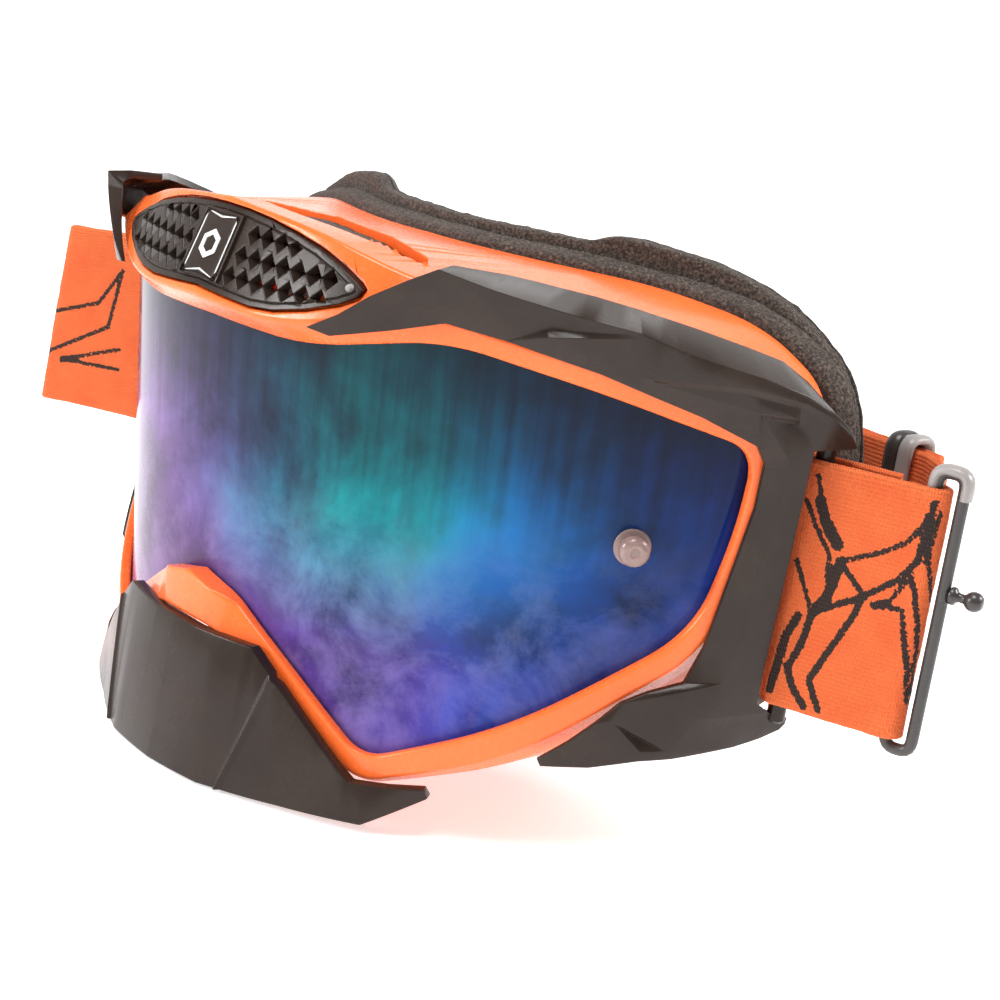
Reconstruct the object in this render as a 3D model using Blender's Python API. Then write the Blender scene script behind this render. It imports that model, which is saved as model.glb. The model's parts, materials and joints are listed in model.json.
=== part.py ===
"""Motocross goggles with a clip-on nose guard, strap outriggers and an elastic strap.

The goggles look along -Y, +Z is up and +X is the wearer's left. The front is laid out flat, in
millimetres, and then wrapped round an upright face cylinder: u is the distance along the lens
from the middle, z the height above the middle of the lens, and d the depth out from the lens.
"""

import math

import bmesh
import bpy
from mathutils import Vector

MM = 0.001
SIDES = ((1, "left"), (-1, "right"))
FACE_R = 95.0  # radius of the lens cylinder
AXIS_Y = 68.0  # y of the face cylinder's axis
ORIGIN = Vector((-5.9, 19.9, -58.5))  # the finished object's origin, in layout millimetres
FACE_SIDE_Y = 20.0  # y of the frame's face side at the middle
FACE_SIDE_SWEEP = 25.0  # how much further back it lies at the temples
GAP = 0.35  # clearance kept between touching pieces
FOAM_SHARE = 0.93  # size of a filter foam against its vent

LENS_T = 1.2
LENS_OVERLAP = 2.0  # how far the lens runs into its groove
RIM_D = 3.4  # height of the rim's front face above the lens
BROW_D = 7.0  # depth of the brow at the bottom of its vent panel
BROW_Z = 30.5
BROW_LEAN = 0.47  # the vent panel falls back by this much for each millimetre it rises
FACE_LEAN = 0.07  # the whole front falls back by this much for each millimetre below LEAN_Z
LEAN_Z = 27.0
OUTRIGGER_D = 7.0
GUARD_T = 2.6
STRAP_T = 1.5
STRAP_HALF = 22.3
STRAP_Z = -1.2
BAR_U = 116.6  # where the strap bar of an outrigger stands
BAR_D = 3.4
BAR_R = 1.7
BAR_LOW = -27.4
BAR_HIGH = 25.2
POST_U = 85.6
POST_Z = 1.9
POST_SHAFT_R = 1.1
POST_HOLE_R = 1.5  # hole for a tear-off post in the lens
PEG_R = 1.6
PEG_X = 13.0  # where the nose guard's pegs enter the frame
PEG_Z = -36.5

PANEL_T = 1.9  # thickness of the vent panel
POCKET_DEPTH = 2.2  # depth of the pocket that it lies in
PIT_ROWS = 4
PIT_PITCH_U = 3.5
PIT_PITCH_Z = 3.0
PIT_FIRST_Z = 34.3
PIT_HALF_U = 1.25
PIT_HALF_Z = 1.7
PIT_EDGE = 2.3  # solid margin above and below a vent hole
BADGE_HALF = 7.6  # half width of the band without holes under the badge
FLANGE_W = 10.5  # width of the frame's face side
LIP_D = 2.6  # height of the rim's inner edge above the lens
NOSE_LIP_D = 3.6
INNER_D = -5.2  # depth of the frame's inner shoulder

# The strap runs in plan: places are x and y in layout millimetres.
LOOP_R = BAR_R + GAP + STRAP_T / 2
LOOP_LEG = 13.0  # length of strap turned back behind an outrigger's bar
RING_INNER = Vector((109.6, 41.6))
RING_OUTER = Vector((114.3, 42.8))
RING_BAR_R = 1.1
FOLD_R = RING_BAR_R + GAP + STRAP_T / 2
RIGHT_FOLD = Vector((-127.0, 17.6))
RIGHT_FOLD_R = 1.7
BAND_START = Vector((94.0, 62.5))
BAND_MIDDLE = Vector((0.0, 72.5))
TAIL_LIFT = STRAP_T + GAP + 0.3
STUD_Z = 3.6
STUD_SIDES = 16
WIRE_SIDES = 8
HOOP_ROUNDING = 2.4
SLIDER_HALF = 3.0  # half length of the slider along the band
SLIDER_WALL = 1.8

GRID = 5.5  # widest cell of a wrapped plate
CORNER_STEPS = 3

# Half outlines, from the top middle to the bottom middle. The twelve corners of each loop match,
# so that the frame is a loft from loop to loop. Each is u, z, d and the corner's rounding.
OPENING = [
    (0, 26.9, 0, 0), (24, 26.4, 0, 8), (50, 32.6, 0, 8), (76, 28.4, 0, 10), (103.5, 21.5, 0, 6),
    (103, 6, 0, 8), (99, -12.2, 0, 9), (68.6, -34.3, 0, 12), (42.2, -46.4, 0, 5),
    (25.6, -33.8, 0, 8), (10.8, -25.0, 0, 5), (0, -24.0, 0, 0),
]
CREST = [
    (0, BROW_Z, 7, 0), (20, 29.6, 7, 8), (46, 36.5, 3.4, 8), (76, 32.0, 3.4, 10),
    (106, 24.4, 3.4, 6), (105.4, 6, 3.4, 8), (101.6, -14.4, 3.4, 9), (70.6, -38.8, 3.4, 12),
    (42, -51.0, 2.4, 5), (22.6, -37.4, 3.0, 8), (8.5, -30.4, 4.4, 5), (0, -30.0, 4.4, 0),
]
SHOULDER = [
    (0, 48.2, -0.3, 0), (21, 46.4, -0.3, 8), (42, 41.4, -0.5, 8), (75, 38.0, -1, 10),
    (106, 29.0, -1, 6), (109.5, 6, -1, 8), (106, -16, -1, 9), (73, -41.4, -1, 12),
    (41.6, -52.6, -1, 5), (20, -40, -1, 8), (7.4, -32.2, -1, 5), (0, -31.8, -1, 0),
]
# The face side is laid out as x, z and the corner's rounding. Its y follows rear_y.
FLANGE = [
    (0, 43, 0), (25, 42.6, 8), (48, 42.2, 8), (68, 39.0, 8), (83, 30, 8), (86, 8, 8),
    (84, -14, 9), (70, -37, 10), (46, -45, 8), (29, -38, 6), (14, -17, 6), (0, -12.5, 0),
]
PAD_TOP = [
    (0, 44.6, 0), (31, 44.6, 3), (36, 47.4, 3), (54, 46.0, 8), (69, 40.6, 8), (82, 30, 9), (85, 8, 8),
    (83, -14, 9), (70, -37, 10), (46, -45, 8), (29, -38, 6), (14, -17, 6), (0, -12.5, 0),
]
VENT_PANEL = [(0, 46.6), (12, 46.0), (24, 43.4), (31, 40.6), (34.4, 38.2), (31, 35.2),
              (19, 31.8), (14, 31.3), (0, 32.3)]
BADGE = [(0, 45.6), (5.7, 45.3), (5.7, 33.4), (0, 33.6)]
# The vents in the roof are laid out as u and d.
TOP_VENT = [(-40, -9), (-38, -13), (-24, -20), (0, -25), (24, -20), (38, -13), (40, -9)]
SIDE_VENT = [(56, -8), (58, -13), (75, -16.5), (92, -15.5), (99, -12.6), (101.5, -8.4),
             (97, -6.4), (80, -6.4)]
GUARD = [(0, -30.4), (6.2, -30.6), (19.5, -30.4), (24.6, -34.4), (40, -48.3), (42, -50.0),
         (48.5, -49.4), (55.4, -48.6), (56.4, -50.4), (46, -57), (30, -57.8), (13.3, -58.4), (0, -58.5)]
ARM_TOP = [(27, 30.4), (30, 34.0), (42, 40.0), (49, 45.2), (54, 45.2), (61, 43.7), (74, 41.2),
           (90, 38.2), (101, 35.4), (111, 31.7), (116, 29.4), (119.4, 26.6), (120.4, 23.6)]
ARM_INNER = [(98, -20.6), (100.2, -14), (102.6, 2), (104, 12), (104, 20), (102.4, 22.8),
             (92, 27.0), (75, 32.0), (60, 35.0), (50, 36.2), (42, 33.2), (31.3, 30.0)]
ARM_LOW = [(119.4, -27.2), (118.6, -29.4), (109.4, -32.1), (92, -35.3), (84, -37.4), (75.7, -39.2),
           (74.8, -37.6), (80, -33.9), (84.3, -29.4), (88, -25.1), (92, -22.9)]


def wrapped(u, z, d):
    """The point of the layout, wrapped round the face cylinder, in metres."""
    angle = u / FACE_R
    reach = FACE_R + d + FACE_LEAN * (z - LEAN_Z)
    spot = Vector((reach * math.sin(angle), AXIS_Y - reach * math.cos(angle), z))
    return (spot - ORIGIN) * MM


def placed(x, y, z):
    """A straight layout point, in metres."""
    return (Vector((x, y, z)) - ORIGIN) * MM


def rear_y(x):
    """How far back the face side of the frame lies: it follows the face."""
    return FACE_SIDE_Y + FACE_SIDE_SWEEP * (1 - math.cos(math.pi * min(abs(x), 88) / 88)) / 2


def material(name, colour, roughness, metallic=0.0):
    made = bpy.data.materials.new(name)
    made.use_nodes = True
    shader = made.node_tree.nodes["Principled BSDF"]
    shader.inputs["Base Color"].default_value = (*colour, 1)
    shader.inputs["Roughness"].default_value = roughness
    shader.inputs["Metallic"].default_value = metallic
    return made


def collection(name, hidden=False):
    made = bpy.data.collections.new(name)
    bpy.context.scene.collection.children.link(made)
    made.hide_render = hidden
    return made


def finish(name, bm, finish_material=None):
    """Turns the bmesh into a named piece, or into a cutter when it has no material."""
    bmesh.ops.recalc_face_normals(bm, faces=bm.faces)
    if bm.calc_volume(signed=True) < 0:
        bmesh.ops.reverse_faces(bm, faces=bm.faces)
    mesh = bpy.data.meshes.new(name)
    bm.to_mesh(mesh)
    bm.free()
    piece = bpy.data.objects.new(name, mesh)
    if finish_material:
        mesh.materials.append(finish_material)
        mesh.shade_smooth()
        mesh.set_sharp_from_angle(angle=math.radians(32))
        PARTS.objects.link(piece)
    else:
        piece.hide_render = True
        piece.display_type = "WIRE"
        CUTTERS.objects.link(piece)
    return piece


def boolean(piece, other, operation="DIFFERENCE"):
    cut = piece.modifiers.new(other.name, "BOOLEAN")
    cut.object = other
    cut.operation = operation


def mirrored(half):
    """A closed loop from a half outline that starts and ends on the middle line."""
    return half + [(-corner[0], *corner[1:]) for corner in reversed(half[1:-1])]


def rounded(corners):
    """Points round a closed loop whose corners end in their rounding.

    Loops with the same rounded corners get the same count of points.
    """
    points = []
    for i, corner in enumerate(corners):
        here = Vector(corner[:-1])
        before = Vector(corners[i - 1][:-1])
        after = Vector(corners[(i + 1) % len(corners)][:-1])
        start = here.lerp(before, min(corner[-1] / (here - before).length, 0.42))
        end = here.lerp(after, min(corner[-1] / (here - after).length, 0.42))
        if corner[-1] == 0:
            points.append(here)
        else:
            for step in range(CORNER_STEPS + 1):
                t = step / CORNER_STEPS
                points.append(start.lerp(here, t).lerp(here.lerp(end, t), t))
        following = corners[(i + 1) % len(corners)]
        next_start = after.lerp(here, min(following[-1] / (here - after).length, 0.42))
        points.append(end.lerp(next_start, 0.5))
    return points


def grown(points, by):
    """The closed outline, moved out by a distance in its first two coordinates."""
    area = sum(a[0] * b[1] - b[0] * a[1] for a, b in zip(points, points[1:] + points[:1]))
    if area > 0:
        by = -by
    moved = []
    for i, point in enumerate(points):
        along = points[(i + 1) % len(points)] - points[i - 1]
        out = Vector((-along[1], along[0])).normalized()
        spot = point.copy()
        spot[0] += out[0] * by
        spot[1] += out[1] * by
        moved.append(spot)
    return moved


def at_depth(points, d):
    return [wrapped(p[0], p[1], d) for p in points]


def at_rear(points, back):
    """A face side outline, set back behind the frame's rear by a distance."""
    return [placed(p[0], rear_y(p[0]) + back, p[1]) for p in points]


def lofted(name, rings, finish_material):
    """A closed tube of faces from ring to ring, and from the last ring to the first."""
    bm = bmesh.new()
    rows = [[bm.verts.new(point) for point in ring] for ring in rings]
    for row, following in zip(rows, rows[1:] + rows[:1]):
        for i in range(len(row)):
            j = (i + 1) % len(row)
            bm.faces.new((row[i], row[j], following[j], following[i]))
    return finish(name, bm, finish_material)


def slab(outline, low, high, cells=GRID):
    """A flat slab on a closed 2D outline, cut into cells small enough to wrap."""
    bm = bmesh.new()
    face = bm.faces.new([bm.verts.new((p[0], p[1], low)) for p in outline])
    raised = bmesh.ops.extrude_face_region(bm, geom=[face])["geom"]
    for vert in raised:
        if isinstance(vert, bmesh.types.BMVert):
            vert.co.z = high
    for axis in (0, 1):
        values = [p[axis] for p in outline]
        count = max(1, math.ceil((max(values) - min(values)) / cells))
        for i in range(1, count):
            place = [0, 0, 0]
            place[axis] = min(values) + (max(values) - min(values)) * (i / count) + 0.013
            way = [0, 0, 0]
            way[axis] = 1
            everything = bm.verts[:] + bm.edges[:] + bm.faces[:]
            bmesh.ops.bisect_plane(bm, geom=everything, plane_co=place, plane_no=way, dist=1e-4)
    return bm


def face_plate(name, outline, back, front, finish_material=None, cells=GRID):
    """A plate on a (u, z) outline, between two depths that are functions of u and z."""
    bm = slab(outline, 0, 1, cells)
    for vert in bm.verts:
        u, z, top = vert.co
        vert.co = wrapped(u, z, front(u, z) if top > 0.5 else back(u, z))
    return finish(name, bm, finish_material)


def plan_plate(name, outline, low, high, finish_material=None, cells=GRID):
    """A plate on a (u, d) outline, seen from above, between two heights."""
    bm = slab(outline, 0, 1, cells)
    for vert in bm.verts:
        u, d, top = vert.co
        vert.co = wrapped(u, high(u, d) if top > 0.5 else low(u, d), d)
    return finish(name, bm, finish_material)


def level(value):
    return lambda a, b: value


def between(rows, u):
    """Height of an open line of (u, z) points at u."""
    rows = sorted(rows)
    for (u0, z0), (u1, z1) in zip(rows, rows[1:]):
        if u <= u1:
            return z0 + (z1 - z0) * max(0, (u - u0) / (u1 - u0))
    return rows[-1][1]


def flipped(outline, side):
    return [(side * p[0], p[1]) for p in outline]


def brow(u, z):
    """Depth of the brow's leaning front."""
    return BROW_D - (z - BROW_Z) * BROW_LEAN


def face_frame():
    opening = rounded(mirrored(OPENING))
    crest = rounded(mirrored(CREST))
    shoulder = rounded(mirrored(SHOULDER))
    rear = rounded(mirrored(FLANGE))
    groove = grown(opening, LENS_OVERLAP + GAP)
    front_lip = [
        wrapped(p[0], p[1], NOSE_LIP_D if p[1] < -20 and abs(p[0]) < 12 else LIP_D) for p in opening
    ]
    inner_shoulder = grown(shoulder, -2.4)
    for p, lens in zip(inner_shoulder, groove):
        p[2] = INNER_D
        if (p.xy - lens.xy).length < 1.2:
            p.xy = lens.xy
    rings = [
        at_depth(opening, GAP),
        front_lip,
        [wrapped(*p) for p in crest],
        [wrapped(*p) for p in shoulder],
        at_rear(rear, -3.0),
        at_rear(rear, 0),
        at_rear(grown(rear, -FLANGE_W), 0),
        at_rear(grown(rear, -FLANGE_W), -2.2),
        at_rear(grown(rear, -2.6), -2.8),
        [wrapped(*p) for p in inner_shoulder],
        at_depth(opening, -LENS_T - 2.6),
        at_depth(opening, -LENS_T - GAP),
        at_depth(groove, -LENS_T - GAP),
        at_depth(groove, GAP),
    ]
    made = lofted("face_frame", rings, ORANGE)
    panel = [Vector(p) for p in mirrored(VENT_PANEL)]
    pocket = face_plate(
        "cut_vent_pocket", grown(panel, GAP),
        lambda u, z: brow(u, z) - POCKET_DEPTH, lambda u, z: brow(u, z) + 6,
    )
    boolean(made, pocket)
    boolean(made, face_plate("cut_vent_window", grown(panel, -2.2), level(-14), level(12)))
    boolean(made, plan_plate("cut_top_vent", TOP_VENT, level(36), level(60)))
    for side, word in SIDES:
        window = flipped(SIDE_VENT, side)
        boolean(made, plan_plate("cut_side_vent_" + word, window, level(28), level(60)))
        boolean(made, peg("cut_peg_" + word, side, PEG_R + GAP, -46, 0))


def peg(name, side, radius, start, end):
    """A cutter or an addition: a round peg along Y between two y values, beside the nose."""
    bm = bmesh.new()
    made = bmesh.ops.create_cone(
        bm, cap_ends=True, segments=16, radius1=radius * MM, radius2=radius * MM,
        depth=(end - start) * MM,
    )
    for vert in made["verts"]:
        x, y, z = vert.co
        vert.co = placed(side * PEG_X, (start + end) / 2, PEG_Z) + Vector((x, z, y))
    return finish(name, bm)


def lens():
    outline = grown(rounded(mirrored(OPENING)), LENS_OVERLAP)
    made = face_plate("lens", outline, level(-LENS_T), level(0), LENS, cells=8)
    for side, word in SIDES:
        hole = [(POST_HOLE_R, -3), (POST_HOLE_R, 3)]
        boolean(made, turned("cut_post_" + word, hole, post_spot(side)))


def post_spot(side):
    return side * POST_U, POST_Z


def turned(name, profile, spot, finish_material=None, steps=20):
    """A solid of revolution on a radial axis of the face: the profile is (radius, d)."""
    u, z = spot
    bm = bmesh.new()
    angle = u / FACE_R
    out = Vector((math.sin(angle), -math.cos(angle), 0))
    sideways = Vector((math.cos(angle), math.sin(angle), 0))
    upward = Vector((0, 0, 1))
    rows = []
    for radius, d in profile:
        centre = wrapped(u, z, d)
        ring = []
        for k in range(steps):
            turn = 2 * math.pi * k / steps
            reach = sideways * math.cos(turn) + upward * math.sin(turn)
            ring.append(bm.verts.new(centre + reach * radius * MM))
        rows.append(ring)
    for row, following in zip(rows, rows[1:]):
        for k in range(steps):
            j = (k + 1) % steps
            bm.faces.new((row[k], row[j], following[j], following[k]))
    bm.faces.new(rows[0])
    bm.faces.new(rows[-1])
    return finish(name, bm, finish_material)


def tear_off_posts():
    profile = [(POST_SHAFT_R, -3.6), (POST_SHAFT_R, 0.9), (1.9, 1.0), (2.7, 2.0), (2.7, 3.0),
               (2.4, 3.8), (1.6, 4.3)]
    for side, word in SIDES:
        turned("tear_off_post_" + word, profile, post_spot(side), CLEAR)
        washer = turned("post_washer_" + word, [(2.6, -2.9), (2.6, -1.6)], post_spot(side), CLEAR)
        boolean(washer, turned("cut_washer_" + word, [(1.45, -5), (1.45, 2)], post_spot(side)))


def vent_grille():
    panel = [Vector(p) for p in mirrored(VENT_PANEL)]
    made = face_plate("vent_grille", panel, lambda u, z: brow(u, z) - PANEL_T, brow, DARK)
    for row in range(PIT_ROWS):
        z = PIT_FIRST_Z + row * PIT_PITCH_Z
        for column in range(-8, 9):
            u = (column + (row % 2) / 2) * PIT_PITCH_U
            top = between(VENT_PANEL[:5], abs(u))
            low = between(VENT_PANEL[4:], abs(u))
            if abs(u) < BADGE_HALF or z + PIT_EDGE > top or z - PIT_EDGE < low:
                continue
            diamond = [(u - PIT_HALF_U, z), (u, z + PIT_HALF_Z), (u + PIT_HALF_U, z), (u, z - PIT_HALF_Z)]
            name = f"cut_diamond_{row}_{column + 8}"
            boolean(made, face_plate(name, diamond, level(-8), level(12), cells=9))


def badge():
    face_plate(
        "badge_plate", mirrored(BADGE), lambda u, z: brow(u, z) + 0.3,
        lambda u, z: brow(u, z) + 1.1, DARK, cells=6,
    )


def shrunk(outline):
    """The outline of a filter foam in its vent."""
    u = sum(p[0] for p in outline) / len(outline)
    d = sum(p[1] for p in outline) / len(outline)
    return [(u + (p[0] - u) * FOAM_SHARE, d + (p[1] - d) * FOAM_SHARE) for p in outline]


def filter_foams():
    panel = [Vector(p) for p in mirrored(VENT_PANEL)]
    face_plate("brow_vent_foam", grown(panel, -3.0), level(-9.2), level(-6.2), FOAM)
    plan_plate(
        "top_vent_foam", shrunk(TOP_VENT),
        lambda u, d: roof(u, d) - 3.0, lambda u, d: roof(u, d) - 1.2, FOAM,
    )
    for side, word in SIDES:
        plan_plate(
            "side_vent_foam_" + word, shrunk(flipped(SIDE_VENT, side)),
            lambda u, d: roof(u, d) - 3.0, lambda u, d: roof(u, d) - 1.2, FOAM,
        )


def roof(u, d):
    """Height of the frame's top wall."""
    front = between([(p[0], p[1]) for p in SHOULDER[:5]], abs(u))
    x = (FACE_R + d) * math.sin(abs(u) / FACE_R)
    y = AXIS_Y - (FACE_R + d) * math.cos(u / FACE_R)
    y_front = AXIS_Y - FACE_R * math.cos(u / FACE_R)
    rear = between([(p[0], p[1]) for p in FLANGE[:5]], x)
    share = max(0, min(1, (y - y_front) / (rear_y(x) - 3 - y_front)))
    return front + (rear - front) * share


def outrigger_front(u, z):
    """Depth of an outrigger's front: a bevel up from the rim, then a face falling back outward."""
    u = abs(u)
    inner = max(u - 103.2, z - between(ARM_INNER[5:], u) - 0.4 if z > 0 else 0)
    if z < -20:
        inner = max(u - 99, (-24 - z) if u > 88 else 2)
    rise = min(OUTRIGGER_D, 4.9 + 0.6 * max(0, inner))
    return max(outrigger_back(u, z) + 1.2, rise - 0.10 * max(0, u - 108))


def outrigger_back(u, z):
    """Depth of an outrigger's back: it rests on the rim, and its tip on the end of the brow."""
    return RIM_D + GAP + 0.1 + max(0, (47 - abs(u)) * 0.15 if z > 0 else 0)


def outriggers():
    for side, word in SIDES:
        slot_edge = [(111.4, 23.2), (111.4, -23.4), (114.6, -25.4)]
        outline = ARM_TOP + slot_edge + ARM_LOW + ARM_INNER
        plate = face_plate(
            "outrigger_" + word, flipped(outline, side),
            outrigger_back, outrigger_front, DARK,
        )
        skirt = [(47.6, 44.0), *ARM_TOP[3:]]
        under = [(119.4, 23.6), (118.4, 25.8), (115.2, 28.2), (110.6, 30.2), (100.6, 33.8),
                 (89.6, 36.7), (73.6, 39.7), (60.6, 42.2), (54, 43.7), (49, 43.5)]
        top_wall = face_plate(
            "cut_top_wall_" + word, flipped(skirt + under, side), level(-4.5), level(5.2)
        )
        boolean(plate, top_wall, "UNION")
        boolean(plate, strap_bar(word, side), "UNION")


def strap_bar(word, side):
    """The upright bar that an outrigger carries its strap on."""
    bm = bmesh.new()
    made = bmesh.ops.create_cone(
        bm, cap_ends=True, segments=12, radius1=BAR_R * MM, radius2=BAR_R * MM,
        depth=(BAR_HIGH - BAR_LOW) * MM,
    )
    centre = wrapped(side * BAR_U, (BAR_LOW + BAR_HIGH) / 2, BAR_D)
    for vert in made["verts"]:
        vert.co += centre
    return finish("cut_strap_bar_" + word, bm)


def guard_front(u, z):
    """Depth of the nose guard's front: it leans out downwards, and its wings fall back."""
    u = abs(u)
    fall = max(0, min(1, (-30 - z) / 28))
    bottom = between([(13, 12.0), (28.4, 8.2), (45, 6.6), (55, 3.2)], max(u, 13))
    top = between([(6, 7.4), (20, 6.2), (41, 6.0), (55, 3.2)], max(u, 6))
    return top + (bottom - top) * fall


def nose_guard():
    outline = mirrored(GUARD)
    made = face_plate(
        "nose_guard", outline, lambda u, z: guard_front(u, z) - GUARD_T, guard_front, DARK
    )
    for side, word in SIDES:
        boolean(made, peg("cut_guard_peg_" + word, side, PEG_R, -29.5, -17), "UNION")


def foam_ring(name, outer, front, back, swell_front, swell_back, width, finish_material):
    """One layer of the face pad: a ring behind the flange, a little wider than it."""
    outline = rounded(mirrored(outer))
    rings = [
        at_rear(grown(outline, swell_front), front),
        at_rear(grown(outline, (swell_front + swell_back) / 2 + 0.4), (front + back) / 2),
        at_rear(grown(outline, swell_back), back),
        at_rear(grown(outline, swell_back - width), back),
        at_rear(grown(outline, swell_front - width), front),
    ]
    return lofted(name, rings, finish_material)


def face_pad():
    foam_ring("pad_base_foam", FLANGE, GAP, 4.8, 0.6, 2.4, 12, FOAM)
    foam_ring("pad_middle_foam", PAD_TOP, 4.8 + GAP, 8.6, 1.2, 1.4, 11, FOAM)
    foam_ring("pad_fleece", PAD_TOP, 8.6 + GAP, 10.2, 1.2, 0.4, 10.4, FLEECE)


def smooth_path(points, steps=4):
    """Points of a smooth curve through the given ones."""
    ends = [points[0] * 2 - points[1], *points, points[-1] * 2 - points[-2]]
    path = []
    for a, b, c, d in zip(ends, ends[1:], ends[2:], ends[3:]):
        for step in range(steps):
            t = step / steps
            path.append(
                (b * 2 + (c - a) * t + (a * 2 - b * 5 + c * 4 - d) * t ** 2
                 + (b * 3 - a - c * 3 + d) * t ** 3) / 2
            )
    return [*path, points[-1]]


def arc(centre, radius, start, end, steps=6):
    """Points on an arc in plan, from one angle to another, in degrees."""
    return [
        centre + Vector((math.cos(math.radians(start + (end - start) * i / steps)),
                         math.sin(math.radians(start + (end - start) * i / steps)))) * radius
        for i in range(steps + 1)
    ]


def strip(name, path, finish_material, rise=(0, 0, 0), splay=lambda x: 0.0):
    """A band of webbing that stands on edge along a path in plan.

    rise is how much higher its middle lies at the path's start, middle and end, and splay how far
    its lower edge leans out for each millimetre of height.
    """
    bm = bmesh.new()
    columns = []
    for i, point in enumerate(path):
        along = path[min(i + 1, len(path) - 1)] - path[max(i - 1, 0)]
        across = Vector((-along.y, along.x)).normalized() * STRAP_T / 2
        t = i / (len(path) - 1)
        middle = STRAP_Z + rise[0] * (1 - t) ** 2 + 2 * rise[1] * t * (1 - t) + rise[2] * t ** 2
        column = []
        for sign, up in ((1, 1), (1, -1), (-1, -1), (-1, 1)):
            spot = point + across * sign
            shift = splay(point.x) * up * STRAP_HALF
            column.append(bm.verts.new(placed(spot.x + shift, spot.y, middle + up * STRAP_HALF)))
        columns.append(column)
    for column, following in zip(columns, columns[1:]):
        for k in range(4):
            j = (k + 1) % 4
            bm.faces.new((column[k], column[j], following[j], following[k]))
    bm.faces.new(columns[0])
    bm.faces.new(columns[-1])
    return finish(name, bm, finish_material)


def heading(a, b):
    way = b - a
    return math.degrees(math.atan2(way.y, way.x))


def bar_spot(side):
    """The strap bar's place in plan, in layout millimetres."""
    angle = side * BAR_U / FACE_R
    reach = FACE_R + BAR_D + FACE_LEAN * ((BAR_LOW + BAR_HIGH) / 2 - LEAN_Z)
    return Vector((reach * math.sin(angle), AXIS_Y - reach * math.cos(angle)))


def splay(x):
    """The strap's fold on the wearer's right leans: its top is nearer to the goggles than its bottom."""
    return 0.16 * max(0, min(1, (-97 - x) / 26))


def strap_left():
    bar = bar_spot(1)
    way = heading(bar, RING_INNER)
    unit = (RING_INNER - bar).normalized()
    inward = Vector((-unit.y, unit.x))
    path = [bar + unit * LOOP_LEG + inward * LOOP_R]
    path += arc(bar, LOOP_R, way + 90, way + 270)
    path += arc(RING_INNER, FOLD_R, way - 90, way + 72)
    path.append(path[-1] + Vector((-5.0, 5.0)))
    strip("strap_left", path, WEBBING)


def strap_right():
    bar = bar_spot(-1)
    way = heading(bar, RIGHT_FOLD)
    unit = (RIGHT_FOLD - bar).normalized()
    inward = Vector((unit.y, -unit.x))
    path = [bar + unit * LOOP_LEG + inward * LOOP_R]
    path += arc(bar, LOOP_R, way - 90, way - 270)
    path += arc(RIGHT_FOLD, RIGHT_FOLD_R, way + 90, way - 72)
    path.append(path[-1] + Vector((9.0, 9.4)))
    strip("strap_right", path, WEBBING, (0, 3.5, -1), splay)


def strap_rear():
    left_end = smooth_path([Vector((104.0, 50.4)), Vector((100.6, 57.4)), BAND_START])
    right_end = smooth_path([
        BAND_MIDDLE, Vector((-50, 70)), Vector((-84, 61)), Vector((-103, 44.5)),
        Vector((-115.5, 31.6)),
    ])
    strip("strap_rear", left_end + right_end, WEBBING, (0, 0, -1), splay)


def band_side(share, out):
    """A place beside the straight stretch of the rear band."""
    way = (BAND_MIDDLE - BAND_START).normalized()
    outward = Vector((-way.y, way.x))
    if outward.y < 0:
        outward = -outward
    return BAND_START.lerp(BAND_MIDDLE, share) + outward * out


def strap_tail():
    path = [band_side(share, TAIL_LIFT) for share in (-0.01, 0.2, 0.5, 0.86)]
    strip("strap_tail", path, WEBBING)


def hoop(name, centre, along, width, height, wire, wire_material, z_middle):
    """An upright rounded rectangular ring of round wire."""
    corners = [
        (x * width / 2, z * height / 2, HOOP_ROUNDING) for x, z in ((-1, -1), (1, -1), (1, 1), (-1, 1))
    ]
    route = rounded(corners)
    bm = bmesh.new()
    rows = []
    for i, point in enumerate(route):
        step = route[(i + 1) % len(route)] - route[i - 1]
        normal = Vector((step.y, -step.x)).normalized()
        flat = Vector((-along.y, along.x))
        ring = []
        for k in range(WIRE_SIDES):
            turn = 2 * math.pi * k / WIRE_SIDES
            out = normal * math.cos(turn) * wire
            plan = centre + along * (point.x + out.x) + flat * math.sin(turn) * wire
            ring.append(bm.verts.new(placed(plan.x, plan.y, z_middle + point.y + out.y)))
        rows.append(ring)
    for row, following in zip(rows, rows[1:] + rows[:1]):
        for k in range(WIRE_SIDES):
            j = (k + 1) % WIRE_SIDES
            bm.faces.new((row[k], row[j], following[j], following[k]))
    finish(name, bm, wire_material)


def fold_ring():
    middle = (RING_INNER + RING_OUTER) / 2
    along = (RING_OUTER - RING_INNER).normalized()
    width = (RING_OUTER - RING_INNER).length
    hoop("fold_ring", middle, along, width, 2 * STRAP_HALF + 4.6, RING_BAR_R, DARK, STRAP_Z + 0.4)


def ball_stud():
    """A short stud with a ball end, beside the outer bar of the fold ring."""
    profile = [(1.5, 1.45), (1.5, 2.2), (0.85, 2.5), (0.85, 3.9), (1.25, 4.3), (1.7, 5.2),
               (1.6, 6.2), (0.8, 6.9)]
    along = (RING_OUTER - RING_INNER).normalized()
    bm = bmesh.new()
    flat = Vector((-along.y, along.x))
    rows = []
    for radius, reach in profile:
        ring = []
        for k in range(STUD_SIDES):
            turn = 2 * math.pi * k / STUD_SIDES
            plan = RING_OUTER + along * reach + flat * math.cos(turn) * radius
            ring.append(bm.verts.new(placed(plan.x, plan.y, STUD_Z + math.sin(turn) * radius)))
        rows.append(ring)
    for row, following in zip(rows, rows[1:]):
        for k in range(STUD_SIDES):
            j = (k + 1) % STUD_SIDES
            bm.faces.new((row[k], row[j], following[j], following[k]))
    bm.faces.new(rows[0])
    bm.faces.new(rows[-1])
    finish("ball_stud", bm, DARK)


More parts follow.
